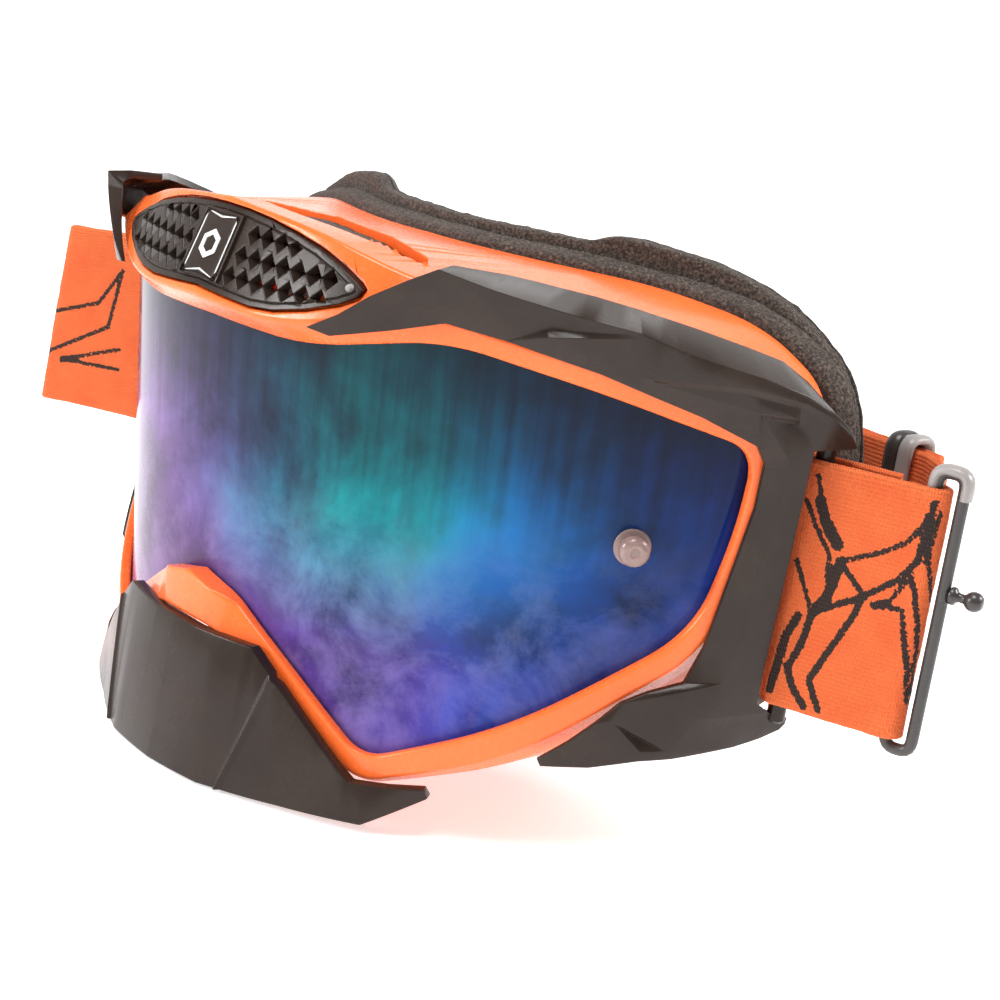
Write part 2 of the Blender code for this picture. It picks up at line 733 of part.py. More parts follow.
def strap_slider():
    """The three-bar slider that holds the strap's length: it stands round the band and its tail."""
    way = (BAND_MIDDLE - BAND_START).normalized()
    centre = band_side(0.06, TAIL_LIFT / 2)
    out = Vector((-way.y, way.x))
    half_t = (TAIL_LIFT + STRAP_T) / 2 + GAP
    bm = bmesh.new()
    ring = []
    low = STRAP_Z - STRAP_HALF - 1.2
    high = STRAP_Z + STRAP_HALF + 0.8
    for along in (-SLIDER_HALF, SLIDER_HALF):
        for reach in (half_t, half_t + SLIDER_WALL):
            loop = []
            rise = SLIDER_WALL if reach > half_t else 0
            for side, z in ((-1, low - rise), (1, low - rise), (1, high + rise), (-1, high + rise)):
                plan = centre + way * along + out * side * reach
                loop.append(bm.verts.new(placed(plan.x, plan.y, z)))
            ring.append(loop)
    order = [ring[0], ring[1], ring[3], ring[2]]
    for row, following in zip(order, order[1:] + order[:1]):
        for k in range(4):
            j = (k + 1) % 4
            bm.faces.new((row[k], row[j], following[j], following[k]))
    finish("strap_slider", bm, DARK)


for leftover in list(bpy.data.objects):
    bpy.data.objects.remove(leftover, do_unlink=True)
PARTS = collection("motocross_goggles")
CUTTERS = collection("cutters", hidden=True)
ORANGE = material("gloss_orange_plastic", (0.95, 0.13, 0.03), 0.22)
DARK = material("satin_dark_plastic", (0.07, 0.055, 0.05), 0.4)
LENS = material("mirror_lens", (0.05, 0.12, 0.5), 0.08, 0.8)
CLEAR = material("clear_plastic", (0.85, 0.6, 0.58), 0.15)
FOAM = material("dark_foam", (0.04, 0.03, 0.027), 0.95)
FLEECE = material("fleece", (0.06, 0.05, 0.047), 1.0)
WEBBING = material("orange_webbing", (0.9, 0.12, 0.03), 0.8)

face_frame()
lens()
tear_off_posts()
vent_grille()
badge()
filter_foams()
outriggers()
nose_guard()
face_pad()
strap_left()
strap_right()
strap_rear()
strap_tail()
fold_ring()
ball_stud()
strap_slider()
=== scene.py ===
"""The finished look of a pair of motocross goggles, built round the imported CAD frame.

The front is laid out flat in millimetres and wrapped round an upright cylinder, as in the CAD:
u is the distance along the lens from the middle, z the height above the middle of the lens and
d the depth out from the lens. +X is the wearer's left.
"""

import json
import math

import bmesh
import bpy
from mathutils import Matrix, Vector, noise


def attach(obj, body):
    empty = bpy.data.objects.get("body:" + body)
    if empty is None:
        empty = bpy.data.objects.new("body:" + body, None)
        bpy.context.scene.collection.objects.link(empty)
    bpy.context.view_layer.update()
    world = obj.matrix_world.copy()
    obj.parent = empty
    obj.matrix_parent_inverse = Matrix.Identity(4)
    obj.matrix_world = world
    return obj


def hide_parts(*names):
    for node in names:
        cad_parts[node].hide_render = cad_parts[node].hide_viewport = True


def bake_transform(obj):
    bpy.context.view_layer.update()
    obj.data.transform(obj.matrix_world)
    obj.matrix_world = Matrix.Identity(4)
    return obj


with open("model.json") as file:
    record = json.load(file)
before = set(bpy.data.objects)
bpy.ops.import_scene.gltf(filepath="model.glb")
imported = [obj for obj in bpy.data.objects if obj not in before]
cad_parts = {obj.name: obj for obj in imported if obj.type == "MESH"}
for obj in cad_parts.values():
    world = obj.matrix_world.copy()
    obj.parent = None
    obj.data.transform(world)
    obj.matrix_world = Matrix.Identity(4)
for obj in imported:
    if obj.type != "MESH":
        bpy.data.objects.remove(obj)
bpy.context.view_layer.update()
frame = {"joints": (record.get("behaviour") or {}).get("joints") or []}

MM = 0.001
FACE_R = 95.0
AXIS_Y = 68.0
LEAN = 0.07
LEAN_Z = 27.0
BROW_D = 7.0
BROW_Z = 30.5
BROW_LEAN = 0.47
LENS_T = 1.2
STRAP_T = 1.5
STRAP_HALF = 22.3
STRAP_Z = -1.2
GAP = 0.35  # room left between moving or fitted pieces
BAR_U = 116.6
BAR_D = 3.4
BAR_R = 1.7
BAR_MIDDLE = -1.1
RING_INNER = Vector((109.6, 41.6))
RING_OUTER = Vector((114.3, 42.8))
JOINTS = {joint["name"]: joint for joint in frame["joints"]}
ORIGIN = Vector((*RING_INNER, STRAP_Z)) - Vector(JOINTS["ring_swivel"]["pos_m"]) / MM
SIDES = ((1, "left"), (-1, "right"))
ROOT = "goggle_body"


# ---------------------------------------------------------------- layout

def wrapped(u, z, d):
    """The point of the layout, wrapped round the face cylinder, in metres."""
    reach = FACE_R + d + LEAN * (z - LEAN_Z)
    angle = u / FACE_R
    spot = Vector((reach * math.sin(angle), AXIS_Y - reach * math.cos(angle), z))
    return (spot - ORIGIN) * MM


def placed(x, y, z):
    return (Vector((x, y, z)) - ORIGIN) * MM


def rear_y(x):
    return 20.0 + 25.0 * (1 - math.cos(math.pi * min(abs(x), 88) / 88)) / 2


def brow(by=0.0):
    """Depth of the brow's face as a function of u and z, moved out by a distance."""
    return lambda u, z: BROW_D - (z - BROW_Z) * BROW_LEAN + by


def level(value):
    return lambda a, b: value


def mirrored(half):
    return half + [(-corner[0], *corner[1:]) for corner in reversed(half[1:-1])]


def bend(start, here, end, steps):
    """The rounding of the corner here, from start to end."""
    shares = [step / steps for step in range(steps + 1)]
    return [start.lerp(here, t).lerp(here.lerp(end, t), t) for t in shares]


def rounded(corners):
    """Points round a closed loop whose corners end in their rounding; every loop gets the same count."""
    points = []
    for i, corner in enumerate(corners):
        here = Vector(corner[:-1])
        before = Vector(corners[i - 1][:-1])
        following = corners[(i + 1) % len(corners)]
        after = Vector(following[:-1])
        start = here.lerp(before, min(corner[-1] / (here - before).length, 0.42))
        end = here.lerp(after, min(corner[-1] / (here - after).length, 0.42))
        if corner[-1] == 0:
            points.append(here)
        else:
            points += bend(start, here, end, 10)
        next_start = after.lerp(here, min(following[-1] / (here - after).length, 0.42))
        for share in (0.25, 0.5, 0.75):
            points.append(end.lerp(next_start, share))
    return points


def grown(points, by):
    """The closed outline, moved out by a distance in its first two coordinates."""
    area = sum(a[0] * b[1] - b[0] * a[1] for a, b in zip(points, points[1:] + points[:1]))
    if area > 0:
        by = -by
    moved = []
    for i, point in enumerate(points):
        along = points[(i + 1) % len(points)] - points[i - 1]
        out = Vector((-along[1], along[0])).normalized()
        spot = point.copy()
        spot[0] += out[0] * by
        spot[1] += out[1] * by
        moved.append(spot)
    return moved


def inset(corners, by):
    """The corners of a closed outline, moved in by a distance, each keeping its other values."""
    area = sum(a[0] * b[1] - b[0] * a[1] for a, b in zip(corners, corners[1:] + corners[:1]))
    by = by if area > 0 else -by
    moved = []
    for i, corner in enumerate(corners):
        here = Vector(corner[:2])
        first = (here - Vector(corners[i - 1][:2])).normalized()
        last = (Vector(corners[(i + 1) % len(corners)][:2]) - here).normalized()
        first_in = Vector((-first.y, first.x))
        last_in = Vector((-last.y, last.x))
        way = (first_in + last_in).normalized()
        spot = here + way * (by / max(way.dot(first_in), 0.45))
        moved.append((spot.x, spot.y, *corner[2:]))
    return moved


def at_depth(points, d):
    return [wrapped(p[0], p[1], d) for p in points]


def at_rear(points, back):
    return [placed(p[0], rear_y(p[0]) + back, p[1]) for p in points]


def between(rows, u):
    """Height of an open line of (u, z) points at u."""
    rows = sorted(rows)
    for (u0, z0), (u1, z1) in zip(rows, rows[1:]):
        if u <= u1:
            return z0 + (z1 - z0) * max(0, (u - u0) / (u1 - u0))
    return rows[-1][1]


# ---------------------------------------------------------------- making pieces


def linked(name, data):
    made = bpy.data.objects.new(name, data)
    bpy.context.scene.collection.objects.link(made)
    return made


def piece_of(name, bm, material, sharp=32.0):
    bmesh.ops.recalc_face_normals(bm, faces=bm.faces)
    if bm.calc_volume(signed=True) < 0:
        bmesh.ops.reverse_faces(bm, faces=bm.faces)
    mesh = bpy.data.meshes.new(name)
    bm.to_mesh(mesh)
    bm.free()
    if material:
        mesh.materials.append(material)
    mesh.shade_smooth()
    mesh.set_sharp_from_angle(angle=math.radians(sharp))
    return linked(name, mesh)


def baked(piece):
    """The piece with its modifiers applied."""
    bpy.context.view_layer.update()
    graph = bpy.context.evaluated_depsgraph_get()
    mesh = bpy.data.meshes.new_from_object(piece.evaluated_get(graph))
    piece.modifiers.clear()
    piece.data = mesh
    return piece


def cut(piece, *cutters, operation="DIFFERENCE"):
    for other in cutters:
        step = piece.modifiers.new("cut", "BOOLEAN")
        step.object = other
        step.operation = operation
        step.solver = "MANIFOLD"
    baked(piece)
    for other in cutters:
        bpy.data.objects.remove(other)
    return piece


def softened(piece, width, angle):
    step = piece.modifiers.new("edges", "BEVEL")
    step.width = width * MM
    step.segments = 2
    step.limit_method = "ANGLE"
    step.angle_limit = math.radians(angle)
    step.use_clamp_overlap = False
    step.harden_normals = False
    baked(piece)
    piece.data.shade_smooth()
    piece.data.set_sharp_from_angle(angle=math.radians(50))
    even = piece.modifiers.new("normals", "WEIGHTED_NORMAL")
    even.keep_sharp = True
    return piece


def stands(piece, body, slot, *nodes):
    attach(piece, body)
    if nodes:
        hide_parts(*nodes)
    return piece


def sliced(bm, axis, step):
    """Cuts flat geometry along one axis into strips that are narrow enough to wrap."""
    values = [vert.co[axis] for vert in bm.verts]
    count = max(1, math.ceil((max(values) - min(values)) / step))
    for i in range(1, count):
        place = [0, 0, 0]
        place[axis] = min(values) + (max(values) - min(values)) * i / count + 0.0137
        way = [0, 0, 0]
        way[axis] = 1
        everything = bm.verts[:] + bm.edges[:] + bm.faces[:]
        bmesh.ops.bisect_plane(bm, geom=everything, plane_co=place, plane_no=way, dist=1e-4)


def sharp_edges(bm, least):
    return [
        edge for edge in bm.edges
        if len(edge.link_faces) == 2
        and math.radians(least) < edge.calc_face_angle(0) < math.pi
    ]


def facets(name, points, faces, back, material, side=1, bevel=0.35, mirror=False):
    """A faceted plate: points are name: (u, z, d) or name: (u, z, d, back point), faces name them.

    The edges are rounded while the plate is flat, and it is then wrapped.
    """
    bm = bmesh.new()
    sides = (1, -1) if mirror else (side,)
    made = {}
    for flip in sides:
        for key, spot in points.items():
            shared = made.get((key, 1)) if abs(spot[0]) < 1e-6 else None
            behind = spot[3] if len(spot) > 3 else (spot[0], spot[1], back(spot[0], spot[1], spot[2]))
            made[key, flip] = shared or (
                bm.verts.new((flip * spot[0], spot[1], spot[2])),
                bm.verts.new((flip * behind[0], behind[1], behind[2])),
            )
        for row in faces:
            keys = row.split()
            bm.faces.new([made[key, flip][0] for key in keys])
            bm.faces.new([made[key, flip][1] for key in reversed(keys)])
    front_edges = [edge for edge in bm.edges if len(edge.link_faces) == 1]
    twins = {}
    for front, rear in set(made.values()):
        twins[front] = rear
    for edge in front_edges:
        a, b = edge.verts
        if a in twins and b in twins:
            bm.faces.new((a, b, twins[b], twins[a]))
    bmesh.ops.recalc_face_normals(bm, faces=bm.faces)
    if bevel:
        bmesh.ops.bevel(
            bm, geom=sharp_edges(bm, 14.0), offset=bevel, segments=2, profile=0.5,
            affect="EDGES", clamp_overlap=True, offset_type="OFFSET",
        )
    sliced(bm, 0, 3.0)
    for vert in bm.verts:
        vert.co = wrapped(*vert.co)
    return piece_of(name, bm, material, 24.0)


def slab(outline, cells):
    """A flat plate on an outline, from 0 to 1 high, in cells that are small enough to wrap."""
    bm = bmesh.new()
    face = bm.faces.new([bm.verts.new((p[0], p[1], 0)) for p in outline])
    raised = bmesh.ops.extrude_face_region(bm, geom=[face])["geom"]
    for vert in raised:
        if isinstance(vert, bmesh.types.BMVert):
            vert.co.z = 1
    sliced(bm, 0, cells)
    sliced(bm, 1, cells)
    return bm


def face_plate(name, outline, back, front, material, cells=3.0):
    """A plate on a (u, z) outline, between two depths that are functions of u and z."""
    bm = slab(outline, cells)
    flat_mm = bm.loops.layers.uv.new("face_mm")
    for corner in (loop for flat in bm.faces for loop in flat.loops):
        corner[flat_mm].uv = corner.vert.co.xy
    for vert in bm.verts:
        u, z, top = vert.co
        vert.co = wrapped(u, z, front(u, z) if top > 0.5 else back(u, z))
    return piece_of(name, bm, material)


def plan_plate(name, outline, low, high, material, cells=3.0):
    """A plate on a (u, d) outline, seen from above, between two heights."""
    bm = slab(outline, cells)
    for vert in bm.verts:
        u, d, top = vert.co
        vert.co = wrapped(u, high(u, d) if top > 0.5 else low(u, d), d)
    return piece_of(name, bm, material)


def skin(bm, rows, closed=False):
    """Faces between rings of vertices; closed joins the last ring to the first, else both are capped."""
    following = rows[1:] + rows[:1] if closed else rows[1:]
    for row, other in zip(rows, following):
        for i in range(len(row)):
            j = (i + 1) % len(row)
            bm.faces.new((row[i], row[j], other[j], other[i]))
    if not closed:
        bm.faces.new(rows[0])
        bm.faces.new(rows[-1])


def lofted(name, columns, material, radius, tight):
    """Faces over columns of profile points; every profile corner is rounded by the radius.

    tight names the profile points that stay sharp.
    """
    bm = bmesh.new()
    rows = []
    for column in columns:
        row = []
        count = len(column)
        for i, here in enumerate(column):
            before = column[i - 1]
            after = column[(i + 1) % count]
            if i in tight:
                row.append(bm.verts.new(here))
                continue
            first = min(radius * MM / max((here - before).length, 1e-7), 0.45)
            last = min(radius * MM / max((here - after).length, 1e-7), 0.45)
            start = here.lerp(before, first)
            end = here.lerp(after, last)
            row += [bm.verts.new(spot) for spot in bend(start, here, end, 3)]
        rows.append(row)
    skin(bm, rows, closed=True)
    return piece_of(name, bm, material, 55.0)


def turned(name, profile, u, z, material, steps=40):
    """A solid of revolution on a radial axis of the face; the profile is (radius, d)."""
    angle = u / FACE_R
    sideways = Vector((math.cos(angle), math.sin(angle), 0))
    rows = []
    bm = bmesh.new()
    for radius, d in profile:
        ring = []
        for k in range(steps):
            turn = 2 * math.pi * k / steps
            reach = sideways * math.cos(turn) + Vector((0, 0, 1)) * math.sin(turn)
            ring.append(bm.verts.new(wrapped(u, z, d) + reach * radius * MM))
        rows.append(ring)
    skin(bm, rows)
    return piece_of(name, bm, material, 60.0)


# ---------------------------------------------------------------- materials

class Nodes:
    """A short hand for building one material's node tree."""

    def __init__(self, name):
        self.material = bpy.data.materials.new(name)
        self.material.use_nodes = True
        self.tree = self.material.node_tree
        self.shader = self.tree.nodes["Principled BSDF"]

    def add(self, kind, inputs=(), **settings):
        node = self.tree.nodes.new("ShaderNode" + kind)
        for key, value in settings.items():
            setattr(node, key, value)
        for key, value in dict(inputs).items():
            self.link(node, key, value)
        return node

    def link(self, node, key, value):
        socket = node.inputs[key]
        if isinstance(value, bpy.types.NodeSocket):
            self.tree.links.new(value, socket)
        elif isinstance(value, bpy.types.Node):
            self.tree.links.new(value.outputs[0], socket)
        else:
            socket.default_value = value

    def set(self, **inputs):
        for key, value in inputs.items():
            name = key.replace("_", " ")
            self.link(self.shader, name, (*value, 1) if isinstance(value, tuple) else value)
        return self

    def math(self, operation, a, b=None, c=None):
        inputs = {0: a}
        if b is not None:
            inputs[1] = b
        if c is not None:
            inputs[2] = c
        return self.add("Math", inputs, operation=operation).outputs[0]

    def object_place(self):
        return self.add("TexCoord").outputs["Object"]

    def noise(self, scale, detail=3.0, rough=0.55, place=None, distortion=0.0):
        return self.add(
            "TexNoise",
            {"Vector": place or self.object_place(), "Scale": scale, "Detail": detail,
             "Roughness": rough, "Distortion": distortion},
        ).outputs[0]

    def ramp(self, value, *stops):
        node = self.add("ValToRGB", {0: value})
        row = node.color_ramp.elements
        while len(row) < len(stops):
            row.new(0.5)
        for element, (place, colour) in zip(row, stops):
            element.position = place
            element.color = (*colour, 1) if isinstance(colour, tuple) else (colour, colour, colour, 1)
        return node.outputs[0]

    def mix(self, factor, a, b):
        node = self.add("Mix", data_type="RGBA")
        self.link(node, 0, factor)
        for socket, value in ((6, a), (7, b)):
            self.link(node, socket, (*value, 1) if isinstance(value, tuple) else value)
        return node.outputs[2]

    def bump(self, height, strength, distance, normal=None):
        node = self.add("Bump", {"Height": height, "Strength": strength, "Distance": distance})
        if normal:
            self.link(node, "Normal", normal)
        self.link(self.shader, "Normal", node.outputs[0])
        return node.outputs[0]


def orange_plastic():
    """Glossy moulded plastic with a faint flow of colour and a fine orange-peel surface."""
    n = Nodes("gloss_orange_plastic")
    flow = n.noise(38, 3, 0.5)
    base = n.mix(n.ramp(flow, (0.3, 0.0), (0.75, 1.0)), (0.94, 0.13, 0.02), (1.0, 0.17, 0.034))
    wear = n.noise(900, 2, 0.6)
    n.set(Base_Color=base, Roughness=n.ramp(wear, (0.3, 0.2), (0.8, 0.34)),
          Coat_Weight=0.15, Coat_Roughness=0.08, IOR=1.38)
    n.bump(n.noise(420, 2, 0.4), 0.05, 0.0004)
    return n.material


def dark_plastic():
    """Satin dark brown-black plastic with a fine moulded grain and rubbed patches."""
    n = Nodes("satin_dark_plastic")
    patch = n.noise(60, 4, 0.6)
    base = n.mix(n.ramp(patch, (0.35, 0.0), (0.75, 1.0)), (0.021, 0.013, 0.0095), (0.034, 0.0225, 0.017))
    grain = n.noise(2600, 2, 0.5)
    n.set(Base_Color=base, Roughness=n.ramp(patch, (0.3, 0.2), (0.75, 0.32)), IOR=1.4)
    n.link(n.shader, "Specular IOR Level", 0.32)
    n.bump(grain, 0.12, 0.0002)
    return n.material


def mottled(name, dark, pale, smooth, rough, patches=140, grain=1500, relief=0.08):
    """Plain plastic in two shades of one colour, with rubbed patches and a fine grain."""
    n = Nodes(name)
    patch = n.noise(patches, 3, 0.6)
    n.set(Base_Color=n.mix(patch, dark, pale), Roughness=n.ramp(patch, (0.3, smooth), (0.75, rough)))
    n.bump(n.noise(grain, 2, 0.5), relief, 0.0002)
    return n.material


def clear_plastic():
    n = Nodes("clear_plastic")
    patch = n.noise(500, 2, 0.5)
    base = n.mix(patch, (0.42, 0.28, 0.25), (0.58, 0.4, 0.36))
    n.set(Base_Color=base, Roughness=n.ramp(patch, (0.3, 0.1), (0.8, 0.22)), IOR=1.5)
    n.link(n.shader, "Transmission Weight", 0.55)
    n.bump(n.noise(900, 2, 0.5), 0.05, 0.0002)
    return n.material


def foam(name, dark, pale, scale, fuzz):
    """Open-cell foam or fleece: dark cells, with pale specks where the cell walls catch light."""
    n = Nodes(name)
    cells = n.noise(scale, 4, 0.7)
    patch = n.noise(scale * 0.12, 2, 0.5)
    specks = n.ramp(cells, (0.42, 0.0), (0.62, 0.35), (0.74, 1.0))
    tone = n.mix(n.ramp(patch, (0.3, 0.0), (0.75, 1.0)), dark, tuple(v * 1.5 for v in dark))
    n.set(Base_Color=n.mix(specks, tone, pale), Roughness=n.ramp(cells, (0.3, 0.85), (0.7, 1.0)))
    n.link(n.shader, "Sheen Weight", fuzz)
    n.link(n.shader, "Sheen Roughness", 0.4)
    n.bump(cells, 0.9, 0.0006)
    return n.material


def mirror_lens():
    """A mirror coating with clouds: violet, then teal, then deep blue along the lens, under painted shade and
    reflection.
    """
    n = Nodes("mirror_lens")
    place = n.add("UVMap", uv_map="face_mm").outputs[0]
    split = n.add("SeparateXYZ", {0: place})
    cloud = n.noise(0.026, 8, 0.6, place, 0.35)
    puffs = n.noise(0.06, 9, 0.68, place, 0.3)
    grit = n.noise(2.6, 3, 0.8, place)
    stretched = n.add("Mapping", {"Vector": place, "Scale": (0.3, 0.014, 1.0), "Rotation": (0, 0, 0.12)})
    streak = n.noise(1.0, 4, 0.6, stretched.outputs[0])
    drift = n.math("MULTIPLY_ADD", n.math("SUBTRACT", cloud, 0.5), 50.0, split.outputs[0])
    across = n.add("MapRange", {0: drift, 1: -100.0, 2: 110.0}).outputs[0]
    rise = n.math("MULTIPLY_ADD", n.math("SUBTRACT", puffs, 0.5), 16.0, split.outputs[1])
    up = n.add("MapRange", {0: rise, 1: -45.0, 2: 32.0}).outputs[0]
    upper = n.ramp(
        across, (0.15, (0.20, 0.07, 0.26)), (0.38, (0.20, 0.08, 0.34)), (0.47, (0.14, 0.12, 0.38)),
        (0.54, (0.04, 0.22, 0.38)), (0.62, (0.002, 0.42, 0.46)), (0.71, (0.004, 0.30, 0.36)),
        (0.80, (0.01, 0.16, 0.42)), (0.88, (0.006, 0.07, 0.36)), (1.0, (0.005, 0.03, 0.28)),
    )
    lower = n.ramp(
        across, (0.15, (0.34, 0.15, 0.42)), (0.45, (0.26, 0.11, 0.42)), (0.60, (0.16, 0.08, 0.42)),
        (0.72, (0.10, 0.06, 0.44)), (0.80, (0.02, 0.06, 0.44)), (0.9, (0.008, 0.055, 0.48)),
        (1.0, (0.03, 0.09, 0.52)),
    )
    hue = n.mix(n.ramp(up, (0.24, 0.0), (0.56, 1.0)), lower, upper)
    # Painted shade and reflection by height: bright low down, darkest at the top.
    painted_shade = n.ramp(up, (0.0, 0.85), (0.3, 0.45), (0.6, 0.75), (0.76, 0.3), (0.92, 0.1))
    painted_shade_and_clouds = n.math("MULTIPLY", painted_shade, n.ramp(cloud, (0.36, 0.14), (0.62, 1.1)))
    # Painted reflection streaks, which brighten the upper part.
    painted_reflection_streaks = n.ramp(streak, (0.38, 0.45), (0.66, 1.3))
    # lit: the painted light and shade together with the clouds.
    lit = n.math("MULTIPLY", painted_shade_and_clouds, n.mix(n.ramp(up, (0.5, 0.0), (0.85, 1.0)), (1.0, 1.0, 1.0), painted_reflection_streaks))
    deep = n.mix(lit, (0.004, 0.006, 0.016), hue)
    pale = n.mix(0.2, hue, (0.8, 0.7, 1.0))
    # A pale haze in patches, strongest toward the bottom.
    haze_patches = n.ramp(puffs, (0.44, 0.0), (0.7, 0.75))
    veil = n.math("MULTIPLY", haze_patches, n.ramp(up, (0.1, 0.75), (0.4, 0.5), (0.66, 0.0)))
    body = n.mix(veil, deep, pale)
    specks = n.ramp(grit, (0.70, 0.0), (0.76, 1.0))
    near_dust = n.math("MULTIPLY", specks, n.ramp(across, (0.3, 0.5), (0.7, 0.06)))
    n.set(Base_Color=n.mix(near_dust, body, (0.75, 0.7, 0.9)),
          Roughness=n.ramp(puffs, (0.3, 0.1), (0.8, 0.17)), IOR=1.22)
    n.bump(n.noise(0.5, 2, 0.4, place), 0.02, 0.0004)
    return n.material


ORANGE = orange_plastic()
DARK = dark_plastic()
WIRE = mottled("dark_hardware", (0.02, 0.017, 0.016), (0.05, 0.044, 0.041), 0.22, 0.4)
GREY = mottled("grey_hardware", (0.22, 0.2, 0.19), (0.34, 0.31, 0.3), 0.3, 0.45)
MARK = mottled("pale_mark", (0.7, 0.68, 0.66), (0.82, 0.8, 0.78), 0.4, 0.55, 300, 2600, 0.1)
CLEAR = clear_plastic()
FOAM = foam("dark_foam", (0.012, 0.0075, 0.0055), (0.3, 0.22, 0.17), 1700, 0.07)
FLEECE = foam("fleece", (0.016, 0.011, 0.0085), (0.4, 0.32, 0.26), 2300, 0.15)
LENS = mirror_lens()


def knit():
    """Orange knitted elastic: stitches in columns, a plaited edge, fluff with painted shade and highlight,
    and knitted-in black lines.
    """
    n = Nodes("orange_webbing")
    place = n.add("UVMap", uv_map="band_mm").outputs[0]
    split = n.add("SeparateXYZ", {0: place})
    along, height = split.outputs[0], split.outputs[1]
    jag = n.noise(1.5, 2, 0.6, place)
    fine = n.noise(4.5, 3, 0.7, place)
    patch = n.noise(0.12, 3, 0.6, place)
    line = n.add("Attribute", attribute_name="line").outputs["Fac"]
    ragged = n.math("MULTIPLY_ADD", n.math("SUBTRACT", jag, 0.5), 0.95, line)
    dark = n.ramp(n.math("MULTIPLY_ADD", ragged, 0.5, 0.5), (0.49, 1.0), (0.53, 0.0))
    wale = n.math("SINE", n.math("MULTIPLY", along, 2 * math.pi / 0.85))
    slant = n.math("MULTIPLY_ADD", n.math("ABSOLUTE", wale), 0.35, height)
    course = n.math("SINE", n.math("MULTIPLY", slant, 2 * math.pi / 0.75))
    ridge = n.math("MULTIPLY", n.math("ABSOLUTE", wale), 0.5)
    stitch = n.math("ADD", ridge, n.math("MULTIPLY", course, 0.25))
    relief = n.math("ADD", stitch, n.math("MULTIPLY", fine, 0.9))
    edge = n.ramp(n.math("DIVIDE", n.math("ABSOLUTE", height), STRAP_HALF), (0.93, 0.0), (0.965, 1.0))
    base = n.mix(n.ramp(patch, (0.35, 0.0), (0.7, 1.0)), (0.95, 0.15, 0.03), (1.0, 0.2, 0.045))
    # Painted shade: darker orange where the fine relief is low.
    painted_shade = n.mix(n.ramp(fine, (0.32, 1.0), (0.52, 0.0)), base, (0.78, 0.085, 0.015))
    # Painted highlight: paler orange where the fine relief is high.
    pale = n.mix(n.ramp(fine, (0.6, 0.0), (0.78, 0.6)), painted_shade, (1.0, 0.3, 0.12))
    bound = n.mix(n.math("MULTIPLY", edge, 0.35), pale, (1.0, 0.2, 0.05))
    n.set(Base_Color=n.mix(dark, bound, (0.006, 0.003, 0.003)), Roughness=0.92)
    n.link(n.shader, "Sheen Weight", 0.12)
    n.link(n.shader, "Sheen Roughness", 0.5)
    n.link(n.shader, "Sheen Tint", (1.0, 0.45, 0.25, 1))
    n.bump(relief, 1.0, 0.0005)
    return n.material


WEBBING = knit()


# ---------------------------------------------------------------- frame and lens

OPENING = [
    (0, 26.9, 0, 0), (24, 26.4, 0, 8), (50, 32.6, 0, 8), (76, 28.4, 0, 10), (103.5, 21.5, 0, 6),
    (103, 6, 0, 8), (99, -12.2, 0, 9), (68.6, -34.3, 0, 12), (42.2, -46.4, 0, 5),
    (25.6, -33.8, 0, 8), (10.2, -24.0, 0, 3), (0, -21.6, 0, 0),
]
CREST = [
    (0, BROW_Z, 7, 0), (20, 29.6, 7, 8), (46, 36.5, 3.4, 8), (76, 32.0, 3.4, 10),
    (106, 24.4, 3.4, 6), (105.4, 6, 3.4, 8), (101.6, -14.4, 3.4, 9), (70.6, -38.8, 3.4, 12),
    (42, -51.0, 2.4, 5), (22.6, -37.4, 3.2, 8), (9.0, -30.4, 5.6, 3), (0, -30.0, 5.9, 0),
]
SHOULDER = [
    (0, 48.2, -0.3, 0), (21, 46.4, -0.3, 8), (42, 41.4, -0.5, 8), (75, 38.0, -1, 10),
    (106, 29.0, -1, 6), (109.5, 6, -1, 8), (106, -16, -1, 9), (73, -41.4, -1, 12),
    (41.6, -52.6, -1, 5), (20, -40, -1, 8), (7.4, -32.2, -1, 5), (0, -31.8, -1, 0),
]
FLANGE = [
    (0, 43, 0), (25, 42.6, 8), (48, 42.2, 8), (68, 39.0, 8), (83, 30, 8), (86, 8, 8),
    (84, -14, 9), (70, -37, 10), (46, -45, 8), (29, -38, 6), (14, -17, 6), (0, -12.5, 0),
]
PAD_TOP = [
    (0, 44.4, 0), (31, 44.4, 3), (36, 46.8, 3), (54, 45.0, 8), (68, 39.6, 8), (81, 29.4, 9), (85, 8, 8),
    (83, -14, 9), (70, -37, 10), (46, -45, 8), (29, -38, 6), (14, -17, 6), (0, -12.5, 0),
]
VENT_PANEL = [
    (0, 46.6), (6, 46.4), (12, 45.8), (18, 44.7), (24, 43.2), (29, 41.3), (33, 39.3), (34.4, 38.2),
    (33.8, 36.9), (31, 35.3), (25, 33.2), (19, 31.8), (14, 31.4), (7, 31.8), (0, 32.3),
]
BADGE = [(0, 45.6), (5.5, 45.4), (5.5, 33.5), (0, 33.7)]
TOP_VENT = [(-40, -9), (-38, -13), (-24, -20), (0, -25), (24, -20), (38, -13), (40, -9)]
SIDE_VENT = [
    (56, -8), (58, -13), (75, -16.5), (92, -15.5), (99, -12.6), (101.5, -8.4), (97, -6.4), (80, -6.4),
]


def roof(u, d):
    """Height of the frame's top wall."""
    front = between([(p[0], p[1]) for p in SHOULDER[:5]], abs(u))
    x = (FACE_R + d) * math.sin(abs(u) / FACE_R)
    y = AXIS_Y - (FACE_R + d) * math.cos(u / FACE_R)
    y_front = AXIS_Y - FACE_R * math.cos(u / FACE_R)
    rear = between([(p[0], p[1]) for p in FLANGE[:5]], x)
    share = max(0, min(1, (y - y_front) / (rear_y(x) - 3 - y_front)))
    return front + (rear - front) * share


